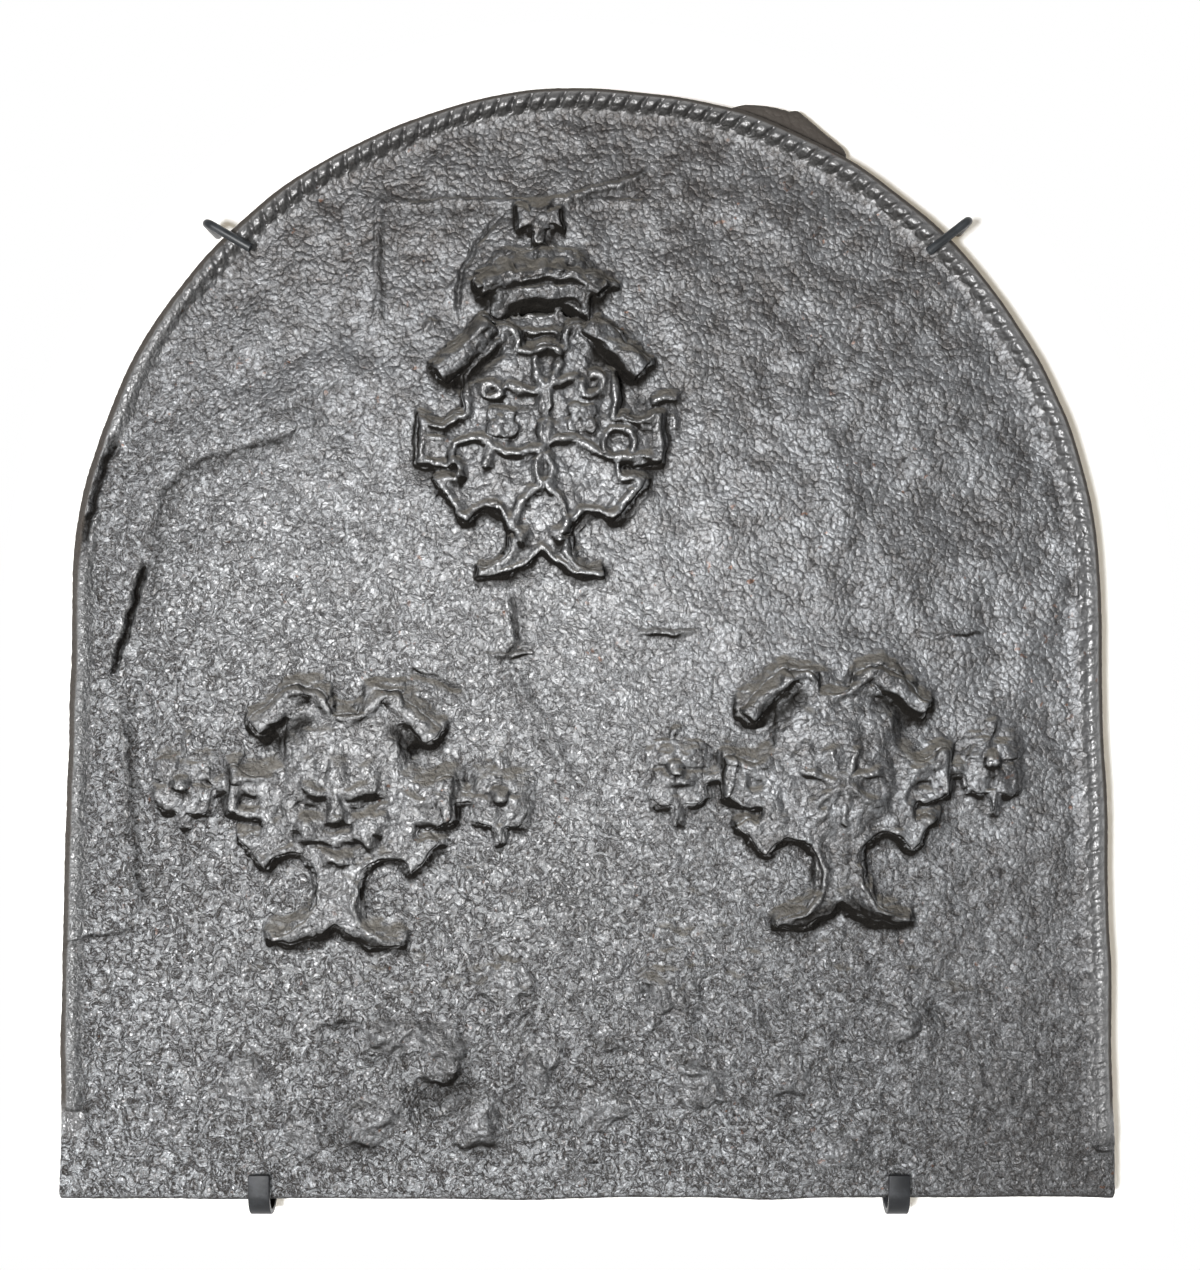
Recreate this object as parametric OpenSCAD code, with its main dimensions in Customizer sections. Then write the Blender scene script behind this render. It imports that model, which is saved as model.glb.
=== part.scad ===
// Cast-iron fireback, hung on two flat hooks and kept upright by two turning clips.
// The wall is the plane y = 0 and the plate faces -Y. The origin is on the wall,
// midway between the four hook screws.

/* [Plate] */
// Width of the plate across its foot
foot_w = 797; // [780:1:840]
// Radius of the arched head
arch_r = 388; // [380:1:400]
// Height of the straight sides
side_h = 450; // [430:1:480]
// Thickness of the plate
plate_t = 26; // [20:0.5:34]
// Chamfer along the edges of the foot
foot_chamfer = 4; // [3.5:0.5:6]
// Distance of the plate's centre line to the right of the hooks' centre line
plate_shift = 5.5; // [-10:0.5:10]

/* [Rope border] */
// Width of the rope
rope_w = 14.5; // [10:0.5:20]
// Height of the rope above the face
rope_h = 9; // [5:0.5:12]
// Distance from the plate's edge to the rope
rope_inset = 2; // [1:0.5:6]
// Length of one lobe of the twist
rope_pitch = 12.3; // [9:0.1:18]
// Sideways lean of the lobes, as a share of their width
rope_slant = 0.5; // [0:0.05:0.9]
// Depth of the grooves between lobes, as a share of the rope's size
rope_groove = 0.3; // [0.1:0.05:0.5]
// Height above the foot where the left rope ends
rope_left_end = 68; // [20:1:150]
// Height above the foot where the right rope ends
rope_right_end = 38; // [20:1:150]

/* [Pouring marks] */
// Place of the pouring gate's stump round the arch, in degrees above level
gate_angle = 67; // [60:1:75]
// Length of the stump along the rim
gate_l = 104; // [60:1:130]
// Height of the stump above the rim
gate_h = 17; // [8:1:24]
// Thickness of the stump
gate_t = 14; // [8:1:18]
// Length of the ridge along the top of the board mark
ridge_l = 200; // [100:1:240]
// Length of the ridge down the side of the board mark
ridge_side_l = 88; // [40:1:110]
// Width of the board ridges
ridge_w = 3; // [2:0.5:5]
// Height of the board ridges above the face
ridge_h = 1.6; // [1:0.1:3]
// Board mark's corner, left of the plate's centre line
ridge_x = -158; // [-200:1:-120]
// Room between the crown's cross and the ridge above it
ridge_gap = 2; // [1:0.5:8]

/* [Shields] */
// Thickness of the shields above the face
shield_t = 8; // [5:0.5:12]
// Height of the rolled straps above the face
roll_h = 15; // [10:0.5:18]
// Clearance round a roll where it passes through a shield
roll_gap = 0.2; // [0.1:0.1:0.5]
// Centre line of the crowned shield, from the plate's centre line
crown_x = -34.5; // [-60:0.5:0]
// Foot of the crowned shield, below the top of the arch
crown_drop = 368; // [358:1:385]
// Centre line of the mask shield, from the plate's centre line
mask_x = -188; // [-195:0.5:-175]
// Foot of the mask shield, above the plate's foot
mask_z = 195; // [150:1:220]
// Tilt of the mask shield, clockwise in degrees
mask_tilt = 2.5; // [0:0.5:5]
// Centre line of the star shield, from the plate's centre line
star_x = 191; // [175:0.5:200]
// Foot of the star shield, above the plate's foot
star_z = 210; // [150:1:230]
// Tilt of the star shield, clockwise in degrees
star_tilt = -2; // [-4:0.5:4]

/* [Charges] */
// Radius of the round boss under the star and the mask
boss_r = 42; // [36:0.5:44]
// Rise of the boss above its shield
boss_rise = 2.5; // [1.5:0.5:4]
// Number of the star's points
star_points = 8; // [6:1:10]
// Radius of the star over its points
star_r = 35; // [28:0.5:38]
// Radius of the star between its points
star_inner_r = 13; // [8:0.5:16]
// Height of the star's middle above its boss
star_h = 6; // [4:0.5:8]
// Width of the knotted cord
cord_w = 4.6; // [3:0.1:6]
// Height of the knotted cord above its shield
cord_h = 3.2; // [2:0.1:5]
// Width of a flower beside a lower shield
flower_w = 46; // [36:0.5:50]
// Height of a flower beside a lower shield, over its leaves
flower_h = 72; // [60:1:80]
// Height of the flowers above what they lie on
flower_t = 5; // [3:0.5:7]
// Distance from a lower shield's centre line to its flowers
flower_x = 118; // [114:0.5:122]
// Width of a small flower on the crowned shield
small_flower_w = 25; // [18:0.5:27]

/* [Crown] */
// Width of the crown's cap
cap_w = 100; // [86:1:110]
// Height of the crown's cap
cap_h = 31; // [26:1:34]
// Thickness of the crown's cap above the face
cap_t = 13; // [10:0.5:16]
// Width of the crown's band
band_w = 74; // [64:1:80]
// Height of the crown's band
band_h = 25; // [21:1:27]
// Thickness of the crown's band above the face
band_t = 9; // [6:0.5:12]
// Width of the cross on the crown
cross_w = 32; // [24:1:38]
// Height of the cross on the crown
cross_h = 20; // [16:1:26]
// Height of the knob under the cross
knob_h = 11; // [8:0.5:14]
// Thickness of the cross above the face
cross_t = 5; // [3:0.5:8]

/* [Hooks] */
// Distance between the middles of the hooks
hook_gap = 480; // [400:1:560]
// Width of the hooks' flat bar
hook_w = 16; // [13:0.5:25]
// Thickness of the hooks' flat bar
hook_t = 4; // [3:0.5:6]
// Height of the hooks' straps above the plate's foot
strap_h = 68; // [64:1:100]
// Height of the hooks' lips above the plate's foot
lip_h = 21; // [16:1:30]
// Room between the plate and the lips
lip_gap = 3.5; // [3:0.5:6]
// Room between the plate and the hooks' straps
seat_gap = 0.5; // [0.4:0.1:1]
// Room between the plate's lower edge and the bends that it rests in
rest_gap = 0.3; // [0.2:0.05:0.4]

/* [Hook screws] */
// Distance between the two screws of a hook
screw_gap = 30; // [20:1:36]
// Height of the screws' middle above the foot
screw_z = 35; // [34:1:40]
// Radius of a screw's shank
screw_r = 2.25; // [1.75:0.05:2.5]
// Radius of a screw's head
screw_head_r = 4.2; // [3.6:0.1:5]
// Length of a screw behind the wall's face
screw_l = 36; // [25:1:50]
// Clearance round a screw in its hole
screw_clear = 0.3; // [0.2:0.05:0.5]

/* [Clips] */
// Place of the clips round the arch, in degrees from its middle line
clip_angle = 45; // [40:0.5:50]
// Room between the plate's rim and the middle of the left clip's stem
clip_out_left = 13.5; // [12.5:0.5:20]
// Room between the plate's rim and the middle of the right clip's stem
clip_out_right = 16; // [12.5:0.5:20]
// Angle of the left clip's arm below level, at rest
clip_drop_left = 30; // [20:1:50]
// Angle of the right clip's arm below level, at rest
clip_drop_right = 38; // [20:1:50]
// Length of a clip's arm from the middle of its stem
clip_arm = 39; // [34:1:50]
// Radius of a clip's rod
rod_r = 2; // [1.5:0.1:2.3]
// Outer radius of a clip's sleeve
sleeve_r = 3.4; // [2.8:0.1:3.6]
// Clearance between a rod and its sleeve
sleeve_clear = 0.05; // [0.03:0.01:0.1]
// Radius of the middle of a clip's bend
clip_bend = 7; // [6:0.5:10]
// Room between the rope border and the clips' arms
clip_clear = 0.5; // [0.3:0.1:1]
// Radius of the threaded end of a clip in the wall
thread_r = 2.5; // [2.3:0.05:3]
// Length of the threaded end of a clip in the wall
thread_l = 30; // [20:1:40]

/* [Hidden] */
$fn = 64;

iron = [0.27, 0.27, 0.28];
worn_iron = [0.36, 0.35, 0.34];
black = [0.06, 0.06, 0.07];
steel = [0.5, 0.5, 0.52];

back_y = -(hook_t + seat_gap);
face_y = back_y - plate_t;
foot_z = -screw_z;
crown_z = side_h + arch_r - crown_drop;
far = 1000;

// Sizes of a scrolled shield, from its own centre line and foot:
// half widths, then heights.
ear_i = 0;
neck_i = 1;
waist_i = 2;
foot_i = 3;
lobe_i = 4;
scoop_r_i = 5;
horn_r_i = 6;
notch_h_i = 7;
scoop_z_i = 8;
lobe_low_i = 9;
lobe_tip_i = 10;
cleft_z_i = 11;
ear_low_i = 12;
ear_top_i = 13;
head_z_i = 14;
head_r_i = 15;
head_x_i = 16;
lower_sizes = [84, 44, 16.5, 50, 76, 19.5, 31, 16.5, 46, 55, 77, 84, 96, 130, 173, 15, 26];
crown_sizes = [92, 58, 21.5, 47.5, 80, 18.5, 22, 19.5, 30, 44, 73, 79, 84, 122, 172, 14, 28];

// Rolled straps: the ends of their middle lines, and their width.
lower_roll = [[31, 187], [67, 158]];
lower_roll_w = 16.5;
crown_roll = [[36, 188], [76, 153]];
crown_roll_w = 20;

// A shape drawn in X and Z, standing on the plate's face.
module raised(height, from = 0) {
  translate([0, -from, 0])
    rotate([90, 0, 0])
      linear_extrude(height = height)
        children();
}

module on_plate() {
  translate([plate_shift, face_y, foot_z])
    children();
}

module crown_place() {
  on_plate()
    translate([crown_x, 0, crown_z])
      children();
}

module mask_place() {
  on_plate()
    translate([mask_x, 0, mask_z])
      rotate([0, mask_tilt, 0])
        children();
}

module star_place() {
  on_plate()
    translate([star_x, 0, star_z])
      rotate([0, star_tilt, 0])
        children();
}

module both_sides() {
  children();
  mirror([1, 0, 0])
    children();
}

// ---- The plate ----

module plate_outline() {
  translate([0, side_h])
    circle(r = arch_r, $fn = 180);
  polygon([[-foot_w / 2, 0], [foot_w / 2, 0], [arch_r, side_h], [-arch_r, side_h]]);
}

module foot_edge_cut(y) {
  translate([0, y, foot_z])
    rotate([45, 0, 0])
      cube([2 * far, foot_chamfer * sqrt(2), foot_chamfer * sqrt(2)], center = true);
}

module plate_slab() {
  color(iron)
    difference() {
      translate([plate_shift, back_y, foot_z])
        raised(plate_t)
          plate_outline();
      foot_edge_cut(back_y);
      foot_edge_cut(face_y);
    }
}

// ---- The rope border ----

rope_mid = rope_inset + rope_w / 2;
side_lean = atan((foot_w / 2 - arch_r) / side_h);
rope_steps = 3;
rope_profile = [for (a = [0:36:180]) [-cos(a), sin(a)]];

// Each ring of the rope: place on the middle line, direction along it, and outward direction.
function arch_ring(s) =
  let (r = arch_r - rope_mid, a = 180 - s / r * 180 / PI, out = [cos(a), sin(a)])
    [[0, side_h] + r * out, [sin(a), -cos(a)], out];

function side_ring(s, side) =
  let (top = [side * (arch_r - rope_mid), side_h], along = [side * sin(side_lean), -cos(side_lean)])
    [top + s * along, along, [side * cos(side_lean), sin(side_lean)]];

// The rope swells between grooves: full on two rings out of three.
function swell(i, last) =
  (i == 0 || i == last || i % rope_steps == 0) ? 1 - rope_groove : 1;

function rope_point(ring, corner, size, slant) =
  let (
    across = corner[0] * rope_w / 2 * size,
    place = ring[0] + across * ring[2] + slant * across * ring[1]
  )
    [place[0], -corner[1] * rope_h * size, place[1]];

module rope_run(rings, lean) {
  last = len(rings) - 1;
  sides = len(rope_profile);
  points = [
    for (i = [0:last])
      for (corner = rope_profile)
        rope_point(rings[i], corner, swell(i, last), (i == 0 || i == last) ? 0 : lean)
  ];
  walls = [
    for (i = [0:last - 1])
      for (j = [0:sides - 1])
        let (
          a = i * sides + j,
          b = i * sides + (j + 1) % sides,
          c = a + sides,
          d = b + sides
        )
          each [[a, c, d], [a, d, b]]
  ];
  caps = [
    for (j = [1:sides - 2])
      each [[0, j, j + 1], [last * sides, last * sides + j + 1, last * sides + j]]
  ];
  polyhedron(points = points, faces = concat(walls, caps));
}

function ring_count(length) = round(length / rope_pitch) * rope_steps;

module rope_arch() {
  length = PI * (arch_r - rope_mid);
  count = ring_count(length);
  color(iron)
    on_plate()
      rope_run([for (i = [0:count]) arch_ring(i * length / count)], rope_slant);
}

module rope_side(side, end_z) {
  length = (side_h - end_z) / cos(side_lean);
  count = ring_count(length);
  rings = [for (i = [0:count]) side_ring(i * length / count, side)];
  turned = side > 0 ? rings : [for (i = [count:-1:0]) [rings[i][0], -rings[i][1], rings[i][2]]];
  color(iron)
    on_plate()
      rope_run(turned, rope_slant);
}

module rope_left() {
  rope_side(-1, rope_left_end);
}

module rope_right() {
  rope_side(1, rope_right_end);
}

// ---- Marks of the pouring ----

module gate_stub() {
  rim = arch_r + 0.1;
  half = gate_l / arch_r * 90 / PI;
  color(iron)
    translate([plate_shift, back_y, foot_z])
      raised(gate_t)
        translate([0, side_h])
          rotate(gate_angle)
            difference() {
              union() {
                rotate(half * 0.45)
                  translate([rim - gate_l * 0.14, 0])
                    circle(r = gate_l * 0.14 + gate_h);
                rotate(-half * 0.35)
                  translate([rim - gate_l * 0.3, 0])
                    circle(r = gate_l * 0.3 + gate_h * 0.75);
              }
              circle(r = rim, $fn = 180);
            }
}

module board_ridge_top() {
  color(iron)
    on_plate()
      raised(ridge_h)
        translate([ridge_x, ridge_z])
          square([ridge_l, ridge_w]);
}

module board_ridge_side() {
  color(iron)
    on_plate()
      raised(ridge_h)
        translate([ridge_x, ridge_z - ridge_side_l])
          square([ridge_w, ridge_side_l]);
}

// ---- Scrolled shields ----

module strapwork_foot(s) {
  difference() {
    polygon([
      [0, s[notch_h_i]],
      [s[notch_h_i] * 0.55, s[notch_h_i] * 0.5],
      [s[foot_i] * 0.52, 1],
      [s[foot_i], 0],
      [s[foot_i], s[scoop_z_i]],
      [0, s[scoop_z_i]]
    ]);
    translate([s[waist_i] + s[horn_r_i], s[horn_r_i] + s[foot_i] * 0.13])
      circle(r = s[horn_r_i]);
  }
}

module strapwork_body(s) {
  ear_scoop = (s[ear_i] - s[neck_i]) * 0.42;
  cleft_x = s[lobe_i] - 15;
  difference() {
    polygon([
      [0, s[scoop_z_i] - 2],
      [s[lobe_i] - 23, s[lobe_low_i] - 3],
      [s[lobe_i] - 19, s[lobe_low_i]],
      [s[lobe_i], s[lobe_tip_i]],
      [cleft_x, s[cleft_z_i]],
      [s[ear_i], s[ear_low_i]],
      [s[ear_i], s[ear_top_i]],
      [s[neck_i], s[ear_top_i]],
      [s[neck_i], s[head_z_i] - s[head_r_i] - 6],
      [s[head_x_i] + s[head_r_i], s[head_z_i]],
      [0, s[head_z_i]]
    ]);
    translate([s[waist_i] + s[scoop_r_i], s[scoop_z_i]])
      circle(r = s[scoop_r_i]);
    translate([(s[ear_i] + s[neck_i]) / 2, s[ear_top_i] + ear_scoop * 0.6])
      circle(r = ear_scoop);
    translate([cleft_x, s[cleft_z_i]])
      circle(r = 4.5);
  }
}

// The whole outline: a scooped foot, lobes, ears, and a dipped head between two rolls.
module strapwork(s) {
  difference() {
    union() {
      both_sides() {
        strapwork_foot(s);
        strapwork_body(s);
        translate([s[head_x_i], s[head_z_i] + 3])
          circle(r = s[head_r_i]);
      }
    }
    translate([0, s[head_z_i] + s[head_r_i]])
      circle(r = s[head_r_i]);
  }
}

module roll_block(ends, width, grow = 0) {
  run = ends[1] - ends[0];
  translate(ends[0])
    rotate(atan2(run[1], run[0]))
      translate([-grow, -width / 2 - grow])
        square([norm(run) + 2 * grow, width + 2 * grow]);
}

module shield_plate(s, ends, width) {
  raised(shield_t)
    difference() {
      strapwork(s);
      both_sides()
        roll_block(ends, width, roll_gap);
    }
}

// A rolled strap: a bar with a half-round front.
module roll_bar(ends, width) {
  run = ends[1] - ends[0];
  bar_h = roll_h - width / 2;
  raised(bar_h)
    roll_block(ends, width);
  intersection() {
    translate([ends[0][0], -bar_h, ends[0][1]])
      rotate([0, 90 - atan2(run[1], run[0]), 0])
        cylinder(r = width / 2, h = norm(run));
    raised(width, bar_h)
      square(2 * far, center = true);
  }
}

module crown_shield() {
  color(worn_iron)
    crown_place()
      shield_plate(crown_sizes, crown_roll, crown_roll_w);
}

module mask_shield() {
  color(worn_iron)
    mask_place()
      shield_plate(lower_sizes, lower_roll, lower_roll_w);
}

module star_shield() {
  color(worn_iron)
    star_place()
      shield_plate(lower_sizes, lower_roll, lower_roll_w);
}

module crown_shield_roll_right() {
  color(worn_iron)
    crown_place()
      roll_bar(crown_roll, crown_roll_w);
}

module crown_shield_roll_left() {
  color(worn_iron)
    crown_place()
      mirror([1, 0, 0])
        roll_bar(crown_roll, crown_roll_w);
}

module mask_shield_roll_right() {
  color(worn_iron)
    mask_place()
      roll_bar(lower_roll, lower_roll_w);
}

module mask_shield_roll_left() {
  color(worn_iron)
    mask_place()
      mirror([1, 0, 0])
        roll_bar(lower_roll, lower_roll_w);
}

module star_shield_roll_right() {
  color(worn_iron)
    star_place()
      roll_bar(lower_roll, lower_roll_w);
}

module star_shield_roll_left() {
  color(worn_iron)
    star_place()
      mirror([1, 0, 0])
        roll_bar(lower_roll, lower_roll_w);
}

// ---- The crown ----

crown_gap = 7.5;
band_z = crown_sizes[head_z_i] + crown_sizes[head_r_i] + crown_gap;
cap_z = band_z + band_h - 2;
lip_r = 6;
lip_bow = cap_w * 0.9;
lip_mid_z = cap_z + lip_r + 3 - lip_bow;
cross_z = cap_z + cap_h + knob_h;
ridge_z = crown_z + cross_z + cross_h + ridge_gap;

// A band with a hollow lower edge, its top following the cap's lip.
module crown_band() {
  dip_r = band_w * 0.75;
  color(worn_iron)
    crown_place()
      raised(band_t)
        difference() {
          intersection() {
            translate([-band_w / 2, band_z])
              square([band_w, band_h - 2]);
            translate([0, lip_mid_z])
              circle(r = lip_bow - lip_r - 0.1, $fn = 120);
          }
          translate([0, band_z + 7 - dip_r])
            circle(r = dip_r, $fn = 120);
        }
}

// A swelling cap with a heavy lip along its lower edge.
module crown_cap() {
  dome_r = (cap_w * cap_w / 4 + cap_h * cap_h) / (2 * cap_h);
  lip_half = asin(cap_w * 0.46 / lip_bow);
  color(worn_iron)
    crown_place()
      union() {
        raised(cap_t - 4)
          intersection() {
            translate([0, cap_z + cap_h - dome_r])
              circle(r = dome_r, $fn = 120);
            translate([-cap_w / 2, cap_z])
              square([cap_w, cap_h]);
          }
        intersection() {
          translate([0, 0, lip_mid_z])
            rotate([90, 0, 0])
              rotate([0, 0, 90 - lip_half])
                rotate_extrude(angle = 2 * lip_half)
                  translate([lip_bow, cap_t - lip_r])
                    circle(r = lip_r);
          raised(cap_t)
            translate([-cap_w, cap_z - cap_h])
              square([2 * cap_w, 3 * cap_h]);
        }
      }
}

// A cross with widening arms, on a round knob.
module crown_cross() {
  neck = cross_w * 0.09;
  tip = cross_w * 0.24;
  color(worn_iron)
    crown_place()
      raised(cross_t)
        translate([0, cross_z + cross_h / 2])
          union() {
            polygon([[-cross_w / 2, -tip], [-cross_w / 2, tip], [0, neck], [0, -neck]]);
            polygon([[cross_w / 2, -tip], [cross_w / 2, tip], [0, neck], [0, -neck]]);
            polygon([[-tip, cross_h / 2], [tip, cross_h / 2], [neck, 0], [-neck, 0]]);
            polygon([[-tip, -cross_h / 2], [tip, -cross_h / 2], [neck, 0], [-neck, 0]]);
            translate([0, -cross_h / 2 - knob_h / 2 + 0.5])
              circle(d = knob_h - 1);
            translate([-neck, -cross_h / 2 - 1])
              square([2 * neck, 2]);
          }
}

// ---- The knotted cord ----

function unit(v) = v / norm(v);
function square_to(v) = [-v[1], v[0]];

// The cord's half width at a point of its path, square to the path or along the mitre.
function cord_side(path, i) =
  let (
    last = len(path) - 1,
    before = square_to(unit(path[max(i, 1)] - path[max(i, 1) - 1])),
    after = square_to(unit(path[min(i, last - 1) + 1] - path[min(i, last - 1)])),
    middle = unit(before + after)
  )
    middle * cord_w / 2 / (middle * before);

module cord_path(path) {
  last = len(path) - 1;
  polygon(concat(
    [for (i = [0:last]) path[i] - cord_side(path, i)],
    [for (i = [last:-1:0]) path[i] + cord_side(path, i)]
  ));
}

module cord_ring(x, z, r) {
  translate([x, z])
    difference() {
      circle(r = r + cord_w / 2);
      circle(r = r - cord_w / 2);
    }
}

// An arch of cord whose two legs run down to the shield's waist.
module cord_bell(z, r, drop) {
  half = cord_w / 2;
  foot_x = r * 0.82;
  difference() {
    cord_ring(0, z, r);
    translate([-2 * r, z - 2 * r])
      square([4 * r, 2 * r]);
  }
  for (side = [-1, 1])
    translate([0, z])
      polygon([
        [side * foot_x - half, -drop],
        [side * foot_x + half, -drop],
        [side * r + half, 0],
        [side * r - half, 0]
      ]);
}

module cord_knot() {
  loop_r = 8;
  loop_z = 164;
  z1 = 139;
  z2 = 93;
  bell_z = 55;
  bell_r = 17;
  twist_z = [loop_z - 4, z1, 127, 118, 110, 101, z2, 84, 73];
  twist_x = [[-6, 0.5, 4, 4, 1, -4, 0.5, 4, -0.5], [8, -0.5, -4, -3, 1, 4, -0.5, -4, 0.5]];
  upper = [[-35, z1], [-20, z1 - 2.5], [0, z1], [20, z1 + 3], [35, z1 + 1]];
  lower = [[-47, z2], [-32, z2 - 6], [-16, z2 - 6], [0, z2], [16, z2 + 5], [32, z2 - 1], [49, z2 + 2]];
  color(worn_iron)
    crown_place()
      raised(cord_h, shield_t)
        union() {
          cord_ring(1, loop_z, loop_r);
          for (x = twist_x)
            cord_path([for (i = [0:len(twist_z) - 1]) [x[i], twist_z[i]]]);
          cord_ring(-41, z1 + 1, 6);
          cord_ring(41, z1 + 2, 6);
          cord_path(upper);
          cord_ring(-56, z2 + 2, 9);
          cord_ring(57, z2 + 3, 8);
          cord_path(lower);
          cord_bell(bell_z, bell_r, 22);
        }
}

// ---- Flowers ----

module flower(width, height) {
  petal = width * 0.24;
  union() {
    for (a = [45:90:315])
      translate([petal * cos(a) * 1.25, petal * sin(a) * 1.25])
        circle(r = petal);
    circle(r = petal);
    for (end = [-1, 1])
      polygon([[-petal * 0.6, 0], [petal * 0.6, 0], [0, end * height / 2]]);
  }
}

// A flower with a raised middle, tied to its shield's ear by a short bar.
module side_flower(side) {
  ear_x = lower_sizes[ear_i] + roll_gap;
  mid_z = (lower_sizes[ear_low_i] + lower_sizes[ear_top_i]) / 2;
  raised(flower_t)
    union() {
      translate([side * flower_x, mid_z])
        flower(flower_w, flower_h);
      translate([side * (ear_x + flower_x) / 2, mid_z])
        square([flower_x - ear_x, flower_w * 0.16], center = true);
    }
  raised(flower_t * 0.5, flower_t)
    translate([side * flower_x, mid_z])
      circle(r = flower_w * 0.13);
}

module small_flower(x, z) {
  raised(flower_t * 0.7, shield_t)
    translate([x, z])
      flower(small_flower_w, small_flower_w);
}

module crown_shield_flower_left() {
  color(worn_iron)
    crown_place()
      small_flower(-29, 115);
}

module crown_shield_flower_right() {
  color(worn_iron)
    crown_place()
      small_flower(31, 118);
}

module mask_shield_flower_left() {
  color(worn_iron)
    mask_place()
      side_flower(-1);
}

module mask_shield_flower_right() {
  color(worn_iron)
    mask_place()
      side_flower(1);
}

module star_shield_flower_left() {
  color(worn_iron)
    star_place()
      side_flower(-1);
}

module star_shield_flower_right() {
  color(worn_iron)
    star_place()
      side_flower(1);
}

// ---- The star and the mask ----

star_boss_z = 110;
mask_boss_z = 106;

// What is in front of the shield's face.
module before_shield(depth) {
  intersection() {
    children();
    raised(depth, shield_t)
      square(2 * far, center = true);
  }
}

module boss(z) {
  translate([0, -shield_t, z])
    rotate([90, 0, 0])
      cylinder(r1 = boss_r, r2 = boss_r - 2 * boss_rise, h = boss_rise);
}

module star_relief() {
  count = 2 * star_points;
  rim = [
    for (i = [0:count - 1])
      let (a = i * 360 / count + 90, r = i % 2 == 0 ? star_r : star_inner_r)
        [r * cos(a), r * sin(a)]
  ];
  points = concat(
    [[0, -star_h, 0], [0, 0.5, 0]],
    [for (p = rim) [p[0], -1, p[1]]],
    [for (p = rim) [p[0], 0.5, p[1]]]
  );
  faces = [
    for (i = [0:count - 1])
      let (a = 2 + i, b = 2 + (i + 1) % count, c = a + count, d = b + count)
        each [[0, b, a], [a, b, d], [a, d, c], [1, c, d]]
  ];
  translate([0, -shield_t - boss_rise, star_boss_z])
    polyhedron(points = points, faces = faces);
}

module star_boss() {
  color(worn_iron)
    star_place()
      union() {
        boss(star_boss_z);
        star_relief();
      }
}

// A round lump of the mask: place across and up from its middle, height and radius.
module lump(x, z, height, r) {
  translate([x, -shield_t - height, mask_boss_z + z])
    sphere(r = r);
}

module lion_mask() {
  mane_r = boss_r - 6;
  color(worn_iron)
    mask_place()
      union() {
        boss(mask_boss_z);
        before_shield(12)
          union() {
            translate([0, -shield_t - 1, mask_boss_z])
              rotate([90, 0, 0])
                rotate_extrude()
                  translate([mane_r, 0])
                    circle(r = 4);
            both_sides() {
              lump(12, 9, 0.5, 9);
              lump(22, -9, -1, 10);
              lump(7, -15, 1.5, 8);
              lump(27, 24, 0, 7);
            }
            translate([0, -shield_t - 2, mask_boss_z - 4])
              cylinder(r1 = 6, r2 = 4, h = 28);
            lump(0, -5, 3, 6.5);
            lump(0, -27, 0, 7);
          }
      }
}

// ---- Hooks and their screws ----

slot_l = seat_gap + plate_t + lip_gap;
bend_r = slot_l / 2;
rest_drop = sqrt(pow(bend_r - rest_gap, 2) - pow(bend_r - seat_gap, 2));
bend_h = foot_chamfer + rest_drop;

// The hook's side view: distance from the wall, and height above the bend's middle.
module hook_profile() {
  square([hook_t, strap_h - bend_h]);
  translate([hook_t + slot_l, 0])
    square([hook_t, lip_h - bend_h]);
  translate([hook_t + bend_r, 0])
    difference() {
      circle(r = bend_r + hook_t);
      circle(r = bend_r);
      translate([-2 * bend_r, 0])
        square([4 * bend_r, 2 * bend_r]);
    }
}

module screw_places(x) {
  for (end = [-1, 1])
    translate([x, 0, end * screw_gap / 2])
      children();
}

module hook(x) {
  color(black)
    difference() {
      translate([x + hook_w / 2, 0, foot_z + bend_h])
        rotate([90, 0, -90])
          linear_extrude(height = hook_w)
            hook_profile();
      screw_places(x)
        rotate([90, 0, 0])
          union() {
            translate([0, 0, -1])
              cylinder(r = screw_r + screw_clear, h = hook_t + 2);
            translate([0, 0, hook_t - screw_head_r + screw_r])
              cylinder(
                r1 = screw_r + screw_clear,
                r2 = screw_head_r + screw_clear + 1,
                h = screw_head_r - screw_r + 1
              );
          }
    }
}

module hook_left() {
  hook(-hook_gap / 2);
}

module hook_right() {
  hook(hook_gap / 2);
}

// A countersunk screw with a crossed drive, its head flush with the strap.
module screw() {
  head_h = screw_head_r - screw_r;
  neck_r = screw_r - 0.15;
  neck_end = 0.4;
  tip_h = 4;
  drive = screw_head_r * 1.1;
  rotate([90, 0, 0])
    difference() {
      union() {
        translate([0, 0, -screw_l + tip_h])
          cylinder(r = screw_r, h = screw_l - tip_h - neck_end);
        translate([0, 0, -neck_end])
          cylinder(r = neck_r, h = neck_end + hook_t - head_h - 0.2);
        translate([0, 0, -screw_l])
          cylinder(r1 = 0.4, r2 = screw_r, h = tip_h);
        translate([0, 0, hook_t - head_h - 0.2])
          cylinder(r1 = neck_r, r2 = screw_head_r, h = head_h);
      }
      for (a = [0, 90])
        rotate([0, 0, a])
          translate([-drive / 2, -0.5, hook_t - 1.2])
            cube([drive, 1, 2]);
    }
}

module hook_screws() {
  color(steel)
    for (side = [-1, 1])
      screw_places(side * hook_gap / 2)
        screw();
}

// ---- Clips ----

clip_y = -face_y + rope_h + clip_clear + sleeve_r;

module clip_at(side) {
  place_r = arch_r + (side > 0 ? clip_out_right : clip_out_left);
  turn = side > 0 ? 180 + clip_drop_right : -clip_drop_left;
  translate([plate_shift + side * place_r * sin(clip_angle), 0, foot_z + side_h + place_r * cos(clip_angle)])
    rotate([90, 0, 0])
      rotate([0, 0, turn])
        children();
}

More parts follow.
